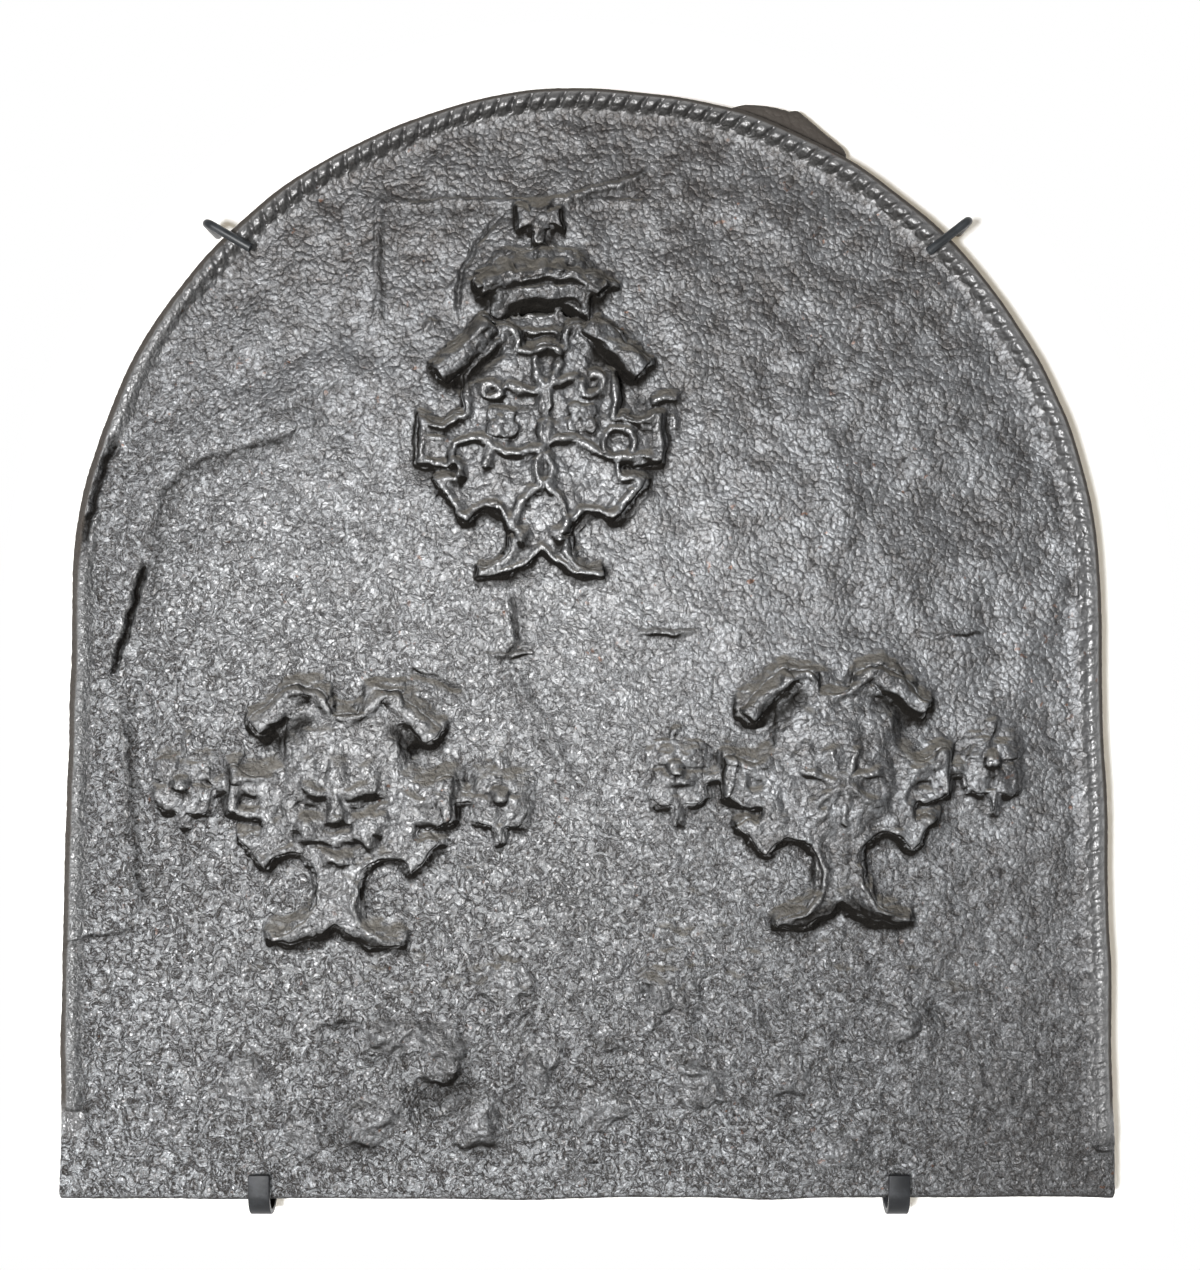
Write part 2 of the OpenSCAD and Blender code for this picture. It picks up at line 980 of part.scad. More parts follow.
// A bent bar or tube: a stem out of the wall, a bend and an arm.
module bent(stem_from, tip) {
  translate([0, 0, stem_from])
    linear_extrude(height = clip_y - clip_bend - stem_from)
      children();
  translate([clip_bend, 0, clip_y - clip_bend])
    rotate([90, 0, 0])
      rotate([0, 0, 90])
        rotate_extrude(angle = 90)
          translate([clip_bend, 0])
            children();
  translate([clip_bend, 0, clip_y])
    rotate([0, 90, 0])
      linear_extrude(height = tip - clip_bend)
        children();
}

module clip_rod(side) {
  color(steel)
    clip_at(side)
      union() {
        bent(0, clip_arm - 1)
          circle(r = rod_r);
        translate([0, 0, -thread_l])
          cylinder(r = thread_r, h = thread_l);
      }
}

module clip_sleeve(side) {
  color(black)
    clip_at(side)
      bent(0.3, clip_arm)
        difference() {
          circle(r = sleeve_r);
          circle(r = rod_r + sleeve_clear);
        }
}

module clip_rod_left() {
  clip_rod(-1);
}

module clip_rod_right() {
  clip_rod(1);
}

module clip_sleeve_left() {
  clip_sleeve(-1);
}

module clip_sleeve_right() {
  clip_sleeve(1);
}

plate_slab();
rope_left();
rope_arch();
rope_right();
gate_stub();
board_ridge_top();
board_ridge_side();
crown_shield();
crown_shield_roll_left();
crown_shield_roll_right();
crown_band();
crown_cap();
crown_cross();
cord_knot();
crown_shield_flower_left();
crown_shield_flower_right();
mask_shield();
mask_shield_roll_left();
mask_shield_roll_right();
lion_mask();
mask_shield_flower_left();
mask_shield_flower_right();
star_shield();
star_shield_roll_left();
star_shield_roll_right();
star_boss();
star_shield_flower_left();
star_shield_flower_right();
hook_left();
hook_right();
hook_screws();
clip_rod_left();
clip_rod_right();
clip_sleeve_left();
clip_sleeve_right();
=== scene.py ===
import math

import bpy
import numpy as np
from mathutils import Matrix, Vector
from mathutils.bvhtree import BVHTree


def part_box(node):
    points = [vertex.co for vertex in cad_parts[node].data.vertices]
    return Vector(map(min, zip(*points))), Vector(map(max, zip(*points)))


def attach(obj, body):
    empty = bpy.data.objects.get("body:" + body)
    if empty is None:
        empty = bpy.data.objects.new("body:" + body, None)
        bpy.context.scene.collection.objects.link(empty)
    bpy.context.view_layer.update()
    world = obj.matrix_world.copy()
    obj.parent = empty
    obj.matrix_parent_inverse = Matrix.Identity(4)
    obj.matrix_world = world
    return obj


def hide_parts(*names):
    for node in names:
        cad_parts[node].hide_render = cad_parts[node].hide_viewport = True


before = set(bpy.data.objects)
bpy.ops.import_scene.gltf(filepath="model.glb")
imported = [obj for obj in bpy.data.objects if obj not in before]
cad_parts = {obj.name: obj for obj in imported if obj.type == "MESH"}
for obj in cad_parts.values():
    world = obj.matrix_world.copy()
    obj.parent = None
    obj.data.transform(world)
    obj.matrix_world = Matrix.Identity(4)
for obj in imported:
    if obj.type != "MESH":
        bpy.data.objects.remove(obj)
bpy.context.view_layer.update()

mm = 0.001

# The plate as it was drawn: sizes in millimetres, x from its centre line and z from its foot
plate = {
    "shift": 5.5,
    "footZ": -35,
    "faceY": -30.5,
    "backY": -4.5,
    "footHalf": 398.5,
    "archR": 388,
    "sideH": 450,
}


def onPlate(x, z, out=0.0):
    return Vector((x + plate["shift"], plate["faceY"] - out, z + plate["footZ"])) * mm


# Small helpers for objects and meshes

def deselectAll():
    if bpy.context.object and bpy.context.object.mode != "OBJECT":
        bpy.ops.object.mode_set(mode="OBJECT")
    bpy.ops.object.select_all(action="DESELECT")


def pick(*pieces):
    deselectAll()
    for piece in pieces:
        piece.select_set(True)
    bpy.context.view_layer.objects.active = pieces[-1]
    return pieces[-1]


def editOn(piece, kind="VERT"):
    pick(piece)
    bpy.ops.object.mode_set(mode="EDIT")
    bpy.ops.mesh.select_mode(type=kind)
    bpy.ops.mesh.select_all(action="DESELECT")


def editOff():
    bpy.ops.object.mode_set(mode="OBJECT")


def settle(piece):
    pick(piece)
    bpy.ops.object.transform_apply(location=True, rotation=True, scale=True)


def copyNode(node, name):
    # The copy's loose triangles are merged before anything else is done with it.
    piece = bpy.data.objects.new(name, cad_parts[node].data.copy())
    bpy.context.scene.collection.objects.link(piece)
    piece.data.materials.clear()
    editOn(piece)
    bpy.ops.mesh.select_all(action="SELECT")
    bpy.ops.mesh.remove_doubles(threshold=0.000005)
    editOff()
    return piece


def joined(pieces, name):
    pick(*pieces)
    bpy.ops.object.join()
    whole = bpy.context.object
    whole.name = name
    return whole


def modify(piece, kind, **settings):
    pick(piece)
    modifier = piece.modifiers.new(kind.title(), kind)
    for key, value in settings.items():
        setattr(modifier, key, value)
    bpy.ops.object.modifier_apply(modifier=modifier.name)


def readAll(items, field, width=1, kind=np.float32):
    # One value of all of a mesh's points, faces or corners
    found = np.empty(len(items) * width, kind)
    items.foreach_get(field, found)
    return found.reshape(-1, width) if width > 1 else found


def pointsOf(piece):
    return readAll(piece.data.vertices, "co", 3)


def centresOf(piece):
    return readAll(piece.data.polygons, "center", 3)


def weigh(piece, name, weights, steps=24):
    # Gives each point its weight, in a few equal steps.
    group = piece.vertex_groups.get(name) or piece.vertex_groups.new(name=name)
    level = np.rint(np.clip(weights, 0, 1) * steps).astype(int)
    for step in range(1, steps + 1):
        members = np.flatnonzero(level == step)
        if len(members):
            group.add(members.tolist(), step / steps, "REPLACE")
    return group.name


def soften(piece, iterations, weights=None):
    # Smooths all of a mesh, or each point by its weight.
    settings = {"factor": 0.5, "iterations": iterations}
    if weights is not None:
        settings["vertex_group"] = weigh(piece, "soften", weights)
    modify(piece, "SMOOTH", **settings)
    if weights is not None:
        piece.vertex_groups.remove(piece.vertex_groups["soften"])


def smooth(x):
    x = np.clip(x, 0, 1)
    return x * x * (3 - 2 * x)


def paint(piece, name, values):
    layer = piece.data.attributes.get(name) or piece.data.attributes.new(name, "FLOAT", "POINT")
    layer.data.foreach_set("value", np.ascontiguousarray(values, np.float32))


def pattern(name, kind, **settings):
    texture = bpy.data.textures.new(name, kind)
    for key, value in settings.items():
        setattr(texture, key, value)
    return texture


def clouds(name, size, depth=1, **settings):
    return pattern(name, "CLOUDS", noise_scale=size * mm, noise_depth=depth, **settings)


# Shader maths

class Wire:
    def __init__(self, look, socket):
        self.look, self.socket = look, socket

    def calc(self, operation, first, second=0.0, third=0.0):
        return self.look.add("ShaderNodeMath", {"operation": operation}, {0: first, 1: second, 2: third})

    def __add__(self, other):
        return self.calc("ADD", self, other)

    __radd__ = __add__

    def __mul__(self, other):
        return self.calc("MULTIPLY", self, other)

    __rmul__ = __mul__

    def __sub__(self, other):
        return self.calc("SUBTRACT", self, other)

    def __rsub__(self, other):
        return self.calc("SUBTRACT", other, self)

    def __truediv__(self, other):
        return self.calc("DIVIDE", self, other)

    def __pow__(self, other):
        return self.calc("POWER", self, other)

    def __abs__(self):
        return self.calc("ABSOLUTE", self)

    def most(self, other):
        return self.calc("MAXIMUM", self, other)

    def least(self, other):
        return self.calc("MINIMUM", self, other)

    def rise(self, low, high):
        settings = {"interpolation_type": "SMOOTHSTEP"}
        values = {"Value": self, "From Min": low, "From Max": high}
        return self.look.add("ShaderNodeMapRange", settings, values)


class Look:
    def __init__(self, name, world=None):
        self.material = world or bpy.data.materials.new(name)
        self.material.use_nodes = True
        self.nodes, self.links = self.material.node_tree.nodes, self.material.node_tree.links
        self.nodes.clear()

    def add(self, kind, settings=None, values=None, output=0):
        node = self.nodes.new(kind)
        for key, value in (settings or {}).items():
            if key == "stops":
                for place, colour in value[:-2]:
                    node.color_ramp.elements.new(place)
                for element, (place, colour) in zip(node.color_ramp.elements, value):
                    element.position, element.color = place, colour
            else:
                setattr(node, key, value)
        for key, value in (values or {}).items():
            if isinstance(value, Wire):
                self.links.new(value.socket, node.inputs[key])
            else:
                node.inputs[key].default_value = value
        return Wire(self, node.outputs[output]) if node.outputs else None

    def place(self):
        return self.add("ShaderNodeTexCoord", output="Object")

    def axis(self, vector, letter):
        return self.add("ShaderNodeSeparateXYZ", {}, {0: vector}, letter)

    def layer(self, name):
        return self.add("ShaderNodeAttribute", {"attribute_name": name}, output="Fac")

    def noise(self, place, scale, detail=2.0, roughness=0.5, distortion=0.0):
        values = {"Vector": place, "Scale": scale, "Detail": detail, "Roughness": roughness}
        values["Distortion"] = distortion
        return self.add("ShaderNodeTexNoise", {}, values)

    def cells(self, place, scale, feature="F1", spread=1.0):
        values = {"Vector": place, "Scale": scale, "Randomness": spread}
        return self.add("ShaderNodeTexVoronoi", {"feature": feature}, values)

    def mix(self, factor, first, second, blend="MIX"):
        values = {0: factor, 6: first, 7: second}
        return self.add("ShaderNodeMix", {"data_type": "RGBA", "blend_type": blend}, values, 2)

    def bump(self, height, distance, strength=1.0, normal=None):
        values = {"Height": height, "Distance": distance, "Strength": strength}
        if normal:
            values["Normal"] = normal
        return self.add("ShaderNodeBump", {}, values)

    def principled(self, **values):
        return self.add("ShaderNodeBsdfPrincipled", {}, {k.replace("_", " "): v for k, v in values.items()})

    def surface(self, **values):
        self.close(self.principled(**values))
        return self.material

    def close(self, shader):
        self.add("ShaderNodeOutputMaterial", {}, {"Surface": shader})


def tint(red, green, blue):
    return (red, green, blue, 1.0)


# Camera, wall, floor and lights

stage = {
    "cameraAt": (0.01566, -1.3803, 0.391),
    "filmWidth": 36,
    "lens": 53.8,
    "wallSize": 1.5,
    "wallAt": (0, 0.0004, 0.39),
    "wallLit": (16, 52),  # millimetres round the plate, where the wall starts and ends to turn plain
    "floorSize": 14,
    "floorZ": -0.42,
    "lampsTowards": (0, 0, 0.4),
    "keyAt": (-0.62, -2.35, 0.16),
    "keySize": 0.36,
    "keyPower": 70,
    "fillAt": (1.6, -2.2, 1.9),
    "fillSize": 1.6,
    "fillPower": 4,
    "rearAt": (-1.2, 2.6, 1.6),
    "rearSize": 1.6,
    "rearPower": 120,
    "skyAbove": 0.34,
    "skyBelow": 0.04,
}


def makeCamera():
    bpy.ops.object.camera_add(location=stage["cameraAt"], rotation=(math.pi / 2, 0, 0))
    camera = bpy.context.object
    camera.name = "photoCamera"
    camera.data.sensor_fit = "HORIZONTAL"
    camera.data.sensor_width = stage["filmWidth"]
    camera.data.lens = stage["lens"]
    camera.data.clip_start = 0.01
    camera.data.dof.use_dof = False
    bpy.context.scene.camera = camera


def makeLamp(name):
    at = Vector(stage[name + "At"])
    bpy.ops.object.light_add(type="AREA", location=at)
    lamp = bpy.context.object
    lamp.name = name + "Lamp"
    lamp.data.shape = "DISK"
    lamp.data.size = stage[name + "Size"]
    lamp.data.energy = stage[name + "Power"]
    lamp.rotation_euler = (Vector(stage["lampsTowards"]) - at).to_track_quat("-Z", "Y").to_euler()


def wallLook():
    # Pale where the camera or a shiny piece sees it from the front, and open from behind.
    # It is lit close round the plate, to take its shadow, and plain white further out.
    look = Look("wallPaint")
    rays = look.add("ShaderNodeLightPath", output="Is Camera Ray")
    shine = look.add("ShaderNodeLightPath", output="Is Glossy Ray")
    behind = look.add("ShaderNodeNewGeometry", output="Backfacing")
    place = look.place()
    across = look.axis(place, "X") / mm - plate["shift"]
    up = look.axis(place, "Z") / mm - plate["footZ"]
    over = (up - plate["sideH"]).most(0.0)
    beyond = (across * across + over * over) ** 0.5 - plate["footHalf"]
    far = beyond.most(0 - up).rise(*stage["wallLit"])
    paint = look.add("ShaderNodeBsdfDiffuse", {}, {"Color": tint(0.93, 0.95, 0.98)})
    glow = look.add("ShaderNodeEmission", {}, {"Color": tint(0.18, 0.135, 0.06), "Strength": 1.0})
    lit = look.add("ShaderNodeAddShader", {}, {0: paint, 1: glow})
    plain = look.add("ShaderNodeEmission", {}, {"Color": tint(1, 1, 1), "Strength": 1.0})
    front = look.add("ShaderNodeMixShader", {}, {0: far, 1: lit, 2: plain})
    clear = look.add("ShaderNodeBsdfTransparent")
    seen = rays.most(shine) * (1 - behind)
    look.close(look.add("ShaderNodeMixShader", {}, {0: seen, 1: clear, 2: front}))
    return look.material


def floorLook():
    look = Look("floorPaint")
    grain = look.noise(look.place(), 3.0, 3.0)
    colour = look.mix(grain, tint(0.7, 0.7, 0.69), tint(0.76, 0.76, 0.75))
    return look.surface(Base_Color=colour, Roughness=0.9)


def makeSky():
    # Brighter above than below, and white where the camera looks straight at it
    world = bpy.data.worlds.new("studio")
    bpy.context.scene.world = world
    look = Look("studio", world)
    rays = look.add("ShaderNodeLightPath", output="Is Camera Ray")
    rise = look.axis(look.add("ShaderNodeTexCoord", output="Generated"), "Z").rise(-0.7, 0.9)
    level = stage["skyBelow"] + (stage["skyAbove"] - stage["skyBelow"]) * rise
    soft = look.add("ShaderNodeBackground", {}, {"Color": tint(0.97, 0.98, 1.0), "Strength": level})
    white = look.add("ShaderNodeBackground", {}, {"Color": tint(1, 1, 1), "Strength": 1.0})
    both = look.add("ShaderNodeMixShader", {}, {0: rays, 1: soft, 2: white})
    look.add("ShaderNodeOutputWorld", {}, {"Surface": both})


def makeStage():
    upright = (math.pi / 2, 0, 0)
    bpy.ops.mesh.primitive_plane_add(size=stage["wallSize"], location=stage["wallAt"], rotation=upright)
    wall = bpy.context.object
    wall.name = "wall"
    settle(wall)
    wall.data.materials.append(wallLook())
    bpy.ops.mesh.primitive_plane_add(size=stage["floorSize"], location=(0, 0, stage["floorZ"]))
    floor = bpy.context.object
    floor.name = "floor"
    settle(floor)
    floor.data.materials.append(floorLook())
    for name in ("key", "fill", "rear"):
        makeLamp(name)
    makeSky()


makeCamera()
makeStage()
bpy.context.scene.view_settings.view_transform = "Standard"
print("fireback: stage made")


# Finishes

# Colours of the graphite finish; some stand in for light, as painted shade, painted highlights and a painted
# pool of light, marked where they are used
graphite = {
    "dark": (0.082, 0.08, 0.08),
    "pale": (0.244, 0.251, 0.26),
    "dust": (0.16, 0.142, 0.112),
    "soot": (0.006, 0.0055, 0.005),
    "brown": (0.05, 0.039, 0.031),
    "rust": (0.2, 0.085, 0.04),
    "bloom": (0.36, 0.36, 0.36),
    "curl": (0.715, 0.74, 0.77),
    "crack": (0.033, 0.026, 0.022),
    "lowRight": (0.07, 0.066, 0.064),
    "middle": (0.42, 0.42, 0.42),
    "crest": (0.4, 0.4, 0.4),
    "paleSoot": (0.016, 0.014, 0.012),
    "metallic": 0.88,
    "roughness": 0.48,
    "broadScale": 7,
    "patchScale": 60,
    "grainScale": 620,
    "warpScale": 150,
    "warpReach": 0.006,
    "pebbleScale": 250,
    "curlScale": 185,
    "crackScale": 105,
    "grainDepth": 0.0003,
    "pebbleDepth": 0.0011,
    "curlDepth": 0.0005,
}


# What the casting's points know of themselves, for its finish
# The hollow layer holds how much painted shade each point gets, and the crest layer the crests, which get a
# painted highlight
layers = ("hollow", "rim", "coarse", "rope", "crest", "dust")


def ironLook():
    # Graphite over pebbled iron: dust lies on what faces up, and painted shade darkens hollows, undersides
    # and other steep sides.
    look = Look("graphitedIron")
    place = look.place()
    facing = look.add("ShaderNodeNewGeometry", output="Normal")
    upward = look.axis(facing, "Z")
    steep = 1 + look.axis(facing, "Y")
    broad = look.noise(place, graphite["broadScale"], 3, 0.55)
    patchy = look.noise(place, graphite["patchScale"], 4, 0.6)
    grain = look.noise(place, graphite["grainScale"], 3, 0.65)
    warpValues = {"Vector": place, "Scale": graphite["warpScale"], "Detail": 2}
    warp = look.add("ShaderNodeTexNoise", {}, warpValues, "Color")
    bentValues = {0: warp, 1: [graphite["warpReach"]] * 3, 2: place}
    bent = look.add("ShaderNodeVectorMath", {"operation": "MULTIPLY_ADD"}, bentValues)
    bubble = look.cells(bent, graphite["pebbleScale"])
    pebble = 1 - bubble * bubble * 2.2
    curl = look.noise(place, graphite["curlScale"], 3, 0.6, 1.1)
    glintFold = (1 - abs(curl - 0.5) * 13).most(0.0)
    split = look.noise(place, graphite["crackScale"], 3, 0.62, 0.9)
    crack = (1 - abs(split - 0.5) * 19).most(0.0)
    hollow, rim, coarse, rope, crest, dust = (look.layer(name) for name in layers)
    tone = (patchy * 0.45 + broad * 0.2 + grain * 0.35).rise(0.38, 0.62)
    colour = look.mix(tone, tint(*graphite["dark"]), tint(*graphite["pale"]))
    # Painted shade: browner and darker in the creases between the pebbles
    creaseShade = bubble.rise(0.45, 0.75) * (0.25 + 0.35 * coarse)
    colour = look.mix(creaseShade, colour, tint(*graphite["brown"]))
    # Paler towards the lower left
    colour = look.mix(0.2 * coarse * coarse, colour, tint(*graphite["bloom"]))
    # Painted glints: pale lines along the curls
    colour = look.mix(0.65 * glintFold * coarse, colour, tint(*graphite["curl"]))
    # Painted shade: dark lines along the cracks
    colour = look.mix(0.92 * crack * (0.15 + 0.85 * coarse), colour, tint(*graphite["crack"]))
    across, height = look.axis(place, "X"), look.axis(place, "Z")
    # Painted shade: darker towards the lower right
    corner = across.rise(0.04, 0.4) * (1 - height.rise(-0.04, 0.26))
    colour = look.mix(0.6 * corner, colour, tint(*graphite["lowRight"]))
    # A painted pool of light, paler left of the middle
    middle = (1 - abs(across + 0.13).rise(0.08, 0.38)) * (1 - abs(height - 0.28).rise(0.1, 0.38))
    colour = look.mix(0.4 * middle * (1 - crack), colour, tint(*graphite["middle"]))
    # A painted highlight: paler on the rope and the crests
    colour = look.mix((0.62 * rope).most(0.55 * crest), colour, tint(*graphite["crest"]))
    # Painted shade: browner and darker towards the top
    colour = look.mix(height.rise(0.5, 0.8) * 0.32, colour, tint(*graphite["brown"]))
    climbs = upward.rise(0.22, 0.62)
    dusty = (climbs * (0.5 + 0.7 * patchy) * dust * (1 - 0.5 * crest) + rim * 0.7).least(1.0)
    colour = look.mix(dusty * 0.8, colour, tint(*graphite["dust"]))
    colour = look.mix(rim * 0.85, colour, tint(*graphite["brown"]))
    specks = look.noise(place, 150, 2, 0.5).rise(0.68, 0.76) * look.noise(place, 14, 2).rise(0.46, 0.62)
    colour = look.mix(specks * 0.6, colour, tint(*graphite["rust"]))
    # Painted shade: a dull dark shader laid over hollows, undersides and other steep sides, less where a face
    # climbs, on the rope and on the crests
    bare = (1 - 0.85 * climbs) * (1 - 0.8 * rope) * (1 - 0.7 * crest)
    under = (0 - upward).rise(0.2, 0.65) * steep.rise(0.08, 0.3)
    sides = steep.rise(0.16, 0.5) * 0.5 * (0.2 + 0.8 * dust)
    paintedShadeAmount = ((sides + hollow) * bare * (0.7 + 0.6 * patchy) + under * 0.55).least(1.0)
    metal = graphite["metallic"] * (1 - 0.85 * dusty)
    rough = graphite["roughness"] - (0.04 * rope).most(0.12 * crest) + 0.16 * (grain - 0.5) + 0.32 * dusty
    fine = look.bump(grain, graphite["grainDepth"], 0.6)
    calm = 1 - 0.55 * rim
    fine = look.bump(pebble * (0.46 + 0.4 * coarse) * calm, graphite["pebbleDepth"], 0.78, fine)
    curled = (glintFold - 1.6 * crack) * (0.12 + 0.88 * coarse) * calm
    fine = look.bump(curled, graphite["curlDepth"], 0.8, fine)
    polished = look.principled(Base_Color=colour, Metallic=metal, Roughness=rough, Normal=fine)
    # The painted shade's own dark colour and dull shader
    black = look.mix(grain, tint(*graphite["soot"]), tint(*graphite["paleSoot"]))
    matt = look.principled(Base_Color=black, Roughness=0.9, Specular_IOR_Level=0.08, Normal=fine)
    look.close(look.add("ShaderNodeMixShader", {}, {0: paintedShadeAmount, 1: polished, 2: matt}))
    return look.material


def blackSteelLook():
    look = Look("blackedSteel")
    place = look.place()
    wear = look.noise(place, 60, 4, 0.6)
    colour = look.mix(wear.rise(0.45, 0.7), tint(0.014, 0.015, 0.017), tint(0.032, 0.034, 0.038))
    rough = 0.36 + 0.2 * wear
    bump = look.bump(look.noise(place, 700, 3, 0.6), 0.0002, 0.5)
    return look.surface(Base_Color=colour, Metallic=0.3, Roughness=rough, Normal=bump)


def sleeveLook():
    look = Look("blackSleeve")
    place = look.place()
    wear = look.noise(place, 90, 3, 0.6)
    colour = look.mix(wear.rise(0.4, 0.7), tint(0.016, 0.018, 0.02), tint(0.03, 0.034, 0.038))
    rough = 0.34 + 0.16 * wear
    bump = look.bump(look.noise(place, 500, 2, 0.5), 0.00015, 0.5)
    return look.surface(Base_Color=colour, Roughness=rough, Normal=bump)


def zincLook():
    look = Look("zincSteel")
    place = look.place()
    flow = look.noise(place, 300, 3, 0.6)
    colour = look.mix(flow, tint(0.5, 0.5, 0.5), tint(0.66, 0.66, 0.67))
    rough = 0.28 + 0.2 * flow
    bump = look.bump(flow, 0.0001, 0.4)
    return look.surface(Base_Color=colour, Metallic=1.0, Roughness=rough, Normal=bump)


iron = ironLook()
blackSteel = blackSteelLook()
sleeveBlack = sleeveLook()
zinc = zincLook()
print("fireback: finishes made")


# The casting: one pour, modelled whole, then cut into its pieces

casting = {
    "cell": 1.25,
    "joinY": -9.0,
    "fillet": 2,
    "reliefFillet": 5,
    "skin": 0.5,
    "skinSize": 3.4,
    "dome": 1.0,
    "domeSize": 5.2,
    "scale": 1.5,
    "scaleSize": 9.5,
    "hill": 12.0,
    "hillSize": 26,
    "wave": 6.0,
    "waveSize": 42,
    "sway": 6.0,
    "swaySize": 90,
    "uneven": 5.5,
    "unevenSize": 15,
    "hand": 8.0,
    "handSize": 16,
}

ropeNodes = ["rope_left", "rope_arch", "rope_right"]


def shieldNodes(shield, *middle):
    around = [shield + end for end in ("", "_roll_left", "_roll_right")]
    return around + list(middle) + [shield + "_flower_left", shield + "_flower_right"]


reliefNodes = ropeNodes + ["gate_stub", "board_ridge_top", "board_ridge_side"]
reliefNodes += shieldNodes("crown_shield", "crown_band", "crown_cap", "crown_cross", "cord_knot")
reliefNodes += shieldNodes("mask_shield", "lion_mask")
reliefNodes += shieldNodes("star_shield", "star_boss")

# Marks of the pouring, in plate millimetres: how wide, how deep (a ridge is below nought), and their line
marks = {
    "crownArc": (3.6, 2.8, [(-94, 664), (-97, 684), (-93, 701), (-83, 718), (-72, 733), (-58, 744)]),
    "crownFleck": (5.0, -2.0, [(-122, 656), (-117, 662), (-112, 659)]),
    "ropeGash": (6.0, 8.0, [(-350, 582), (-357, 566), (-364, 545), (-370, 520), (-376, 497), (-378, 480)]),
    "gash": (5.0, 8.0, [(-330, 485), (-336, 467), (-344, 440), (-356, 406), (-357, 391)]),
    "gashTail": (3.0, -1.4, [(-353, 385), (-349, 351), (-344, 317), (-345, 279)]),
    "sideCrack": (2.8, 2.2, [(-343, 398), (-335, 388), (-329, 379), (-323, 345)]),
    "stripEdge": (3.4, 2.0, [(-341, 309), (-343, 264), (-338, 223), (-341, 208)]),
    "footCrack": (3.0, 3.0, [(-395, 195), (-369, 199), (-350, 202), (-336, 208)]),
    "crownCrack": (3.4, 4.2, [(-58, 461), (-55, 443), (-53, 422), (-61, 407)]),
    "centreFold": (7.0, -2.2, [(-61, 406), (-44, 377), (-29, 351), (-12, 314)]),
    "maskGash": (4.2, 3.5, [(-137, 401), (-122, 395), (-106, 389), (-92, 383)]),
    "boardRun": (5.0, -2.8, [(-31, 750), (10, 761), (48, 773)]),
}


# Ledges of the iron: how high, how wide their steep side and their slow side, and their line
ledges = [
    (2.2, 7, 34, [(-170, 630), (-202, 613), (-227, 603), (-248, 593)]),
    (5.2, 9, 46, [
        (-205, 588), (-229, 578), (-261, 570), (-289, 563), (-309, 551), (-323, 535), (-330, 505),
        (-332, 480),
    ]),
    (3.6, 7, 30, [(-352, 388), (-349, 345), (-345, 300), (-343, 264), (-339, 223), (-342, 208)]),
]
# Painted shade beside the marks, in pits and under what stands proud: how wide, how dark, and the line
shadeStrokes = {
    "underStep": (11.0, 0.42, [
        (-203, 581), (-229, 570), (-259, 561), (-283, 554), (-301, 543), (-315, 528), (-322, 500),
        (-324, 462), (-334, 430),
    ]),
    "underFold": (8.0, 0.26, [(-172, 621), (-202, 605), (-227, 595), (-246, 585)]),
    "underBoard": (6.0, 0.5, [(-159, 744), (-120, 744), (-80, 743), (-52, 741)]),
    "besideBoard": (5.0, 0.5, [(-154, 742), (-155, 715), (-154, 690), (-152, 652)]),
    "underRun": (5.0, 0.5, [(-31, 745), (10, 756), (48, 768)]),
    "stripSide": (8.0, 0.6, [(-346, 390), (-343, 345), (-340, 300), (-338, 264), (-334, 223), (-338, 206)]),
    "belowCrown": (7.0, 0.5, [(-52, 462), (-49, 443), (-47, 422), (-55, 406)]),
    "besideFold": (7.0, 0.35, [(-66, 402), (-50, 374), (-36, 348), (-18, 312)]),
    "ropeEnd": (12.0, 0.7, [(-386, 74), (-374, 66)]),
    "ropeGash": (5.0, 1.0, [(-352, 578), (-357, 566), (-364, 545), (-370, 520), (-376, 497), (-378, 482)]),
    "gashSide": (4.0, 1.0, [(-331, 484), (-337, 467), (-345, 440), (-357, 406), (-358, 392)]),
    "lowShadeA": (15.0, 0.4, [(-172, 112), (-150, 109), (-128, 106)]),
    "lowShadeB": (15.0, 0.4, [(-200, 62), (-182, 44), (-150, 36)]),
    "lowShadeC": (13.0, 0.42, [(-98, 48), (-80, 38), (-62, 46)]),
    "midPit": (24.0, 0.62, [(-132, 72), (-112, 77), (-98, 84), (-86, 96)]),
    "leftPit": (8.0, 0.5, [(-195, 131), (-178, 133)]),
    "crownRollLeft": (12.0, 1.0, [(-100, 612), (-90, 619), (-76, 631), (-62, 642)]),
    "crownRollRight": (12.0, 1.0, [(-1, 645), (10, 634), (24, 623), (36, 615)]),
    "bandLeft": (10.0, 0.9, [(-74, 684), (-69, 672)]),
    "bandRight": (10.0, 0.9, [(8, 684), (4, 672)]),
    "underBand": (6.5, 0.95, [(-66, 668), (-52, 673), (-34, 676), (-14, 674), (-1, 668)]),
    "maskRollLeft": (12.0, 0.9, [(-243, 341), (-230, 348), (-216, 357), (-203, 368)]),
    "maskRollRight": (11.0, 0.9, [(-153, 361), (-142, 353), (-131, 343), (-121, 333)]),
    "starRollLeft": (12.0, 0.9, [(134, 358), (146, 367), (156, 377), (165, 387)]),
    "starRollRight": (11.0, 0.9, [(214, 383), (226, 375), (238, 367), (249, 358)]),
    "maskFoot": (9.0, 1.0, [(-229, 193), (-212, 198), (-190, 205), (-170, 198), (-136, 191)]),
    "starFoot": (9.0, 1.0, [(148, 211), (171, 218), (192, 226), (211, 218), (240, 213)]),
    "crossLeft": (4.0, 0.8, [(-54, 750), (-53, 728)]),
    "crossRight": (4.0, 0.8, [(-18, 750), (-19, 728)]),
    "maskMouth": (7.0, 0.5, [(-197, 283), (-186, 279), (-174, 281)]),
}

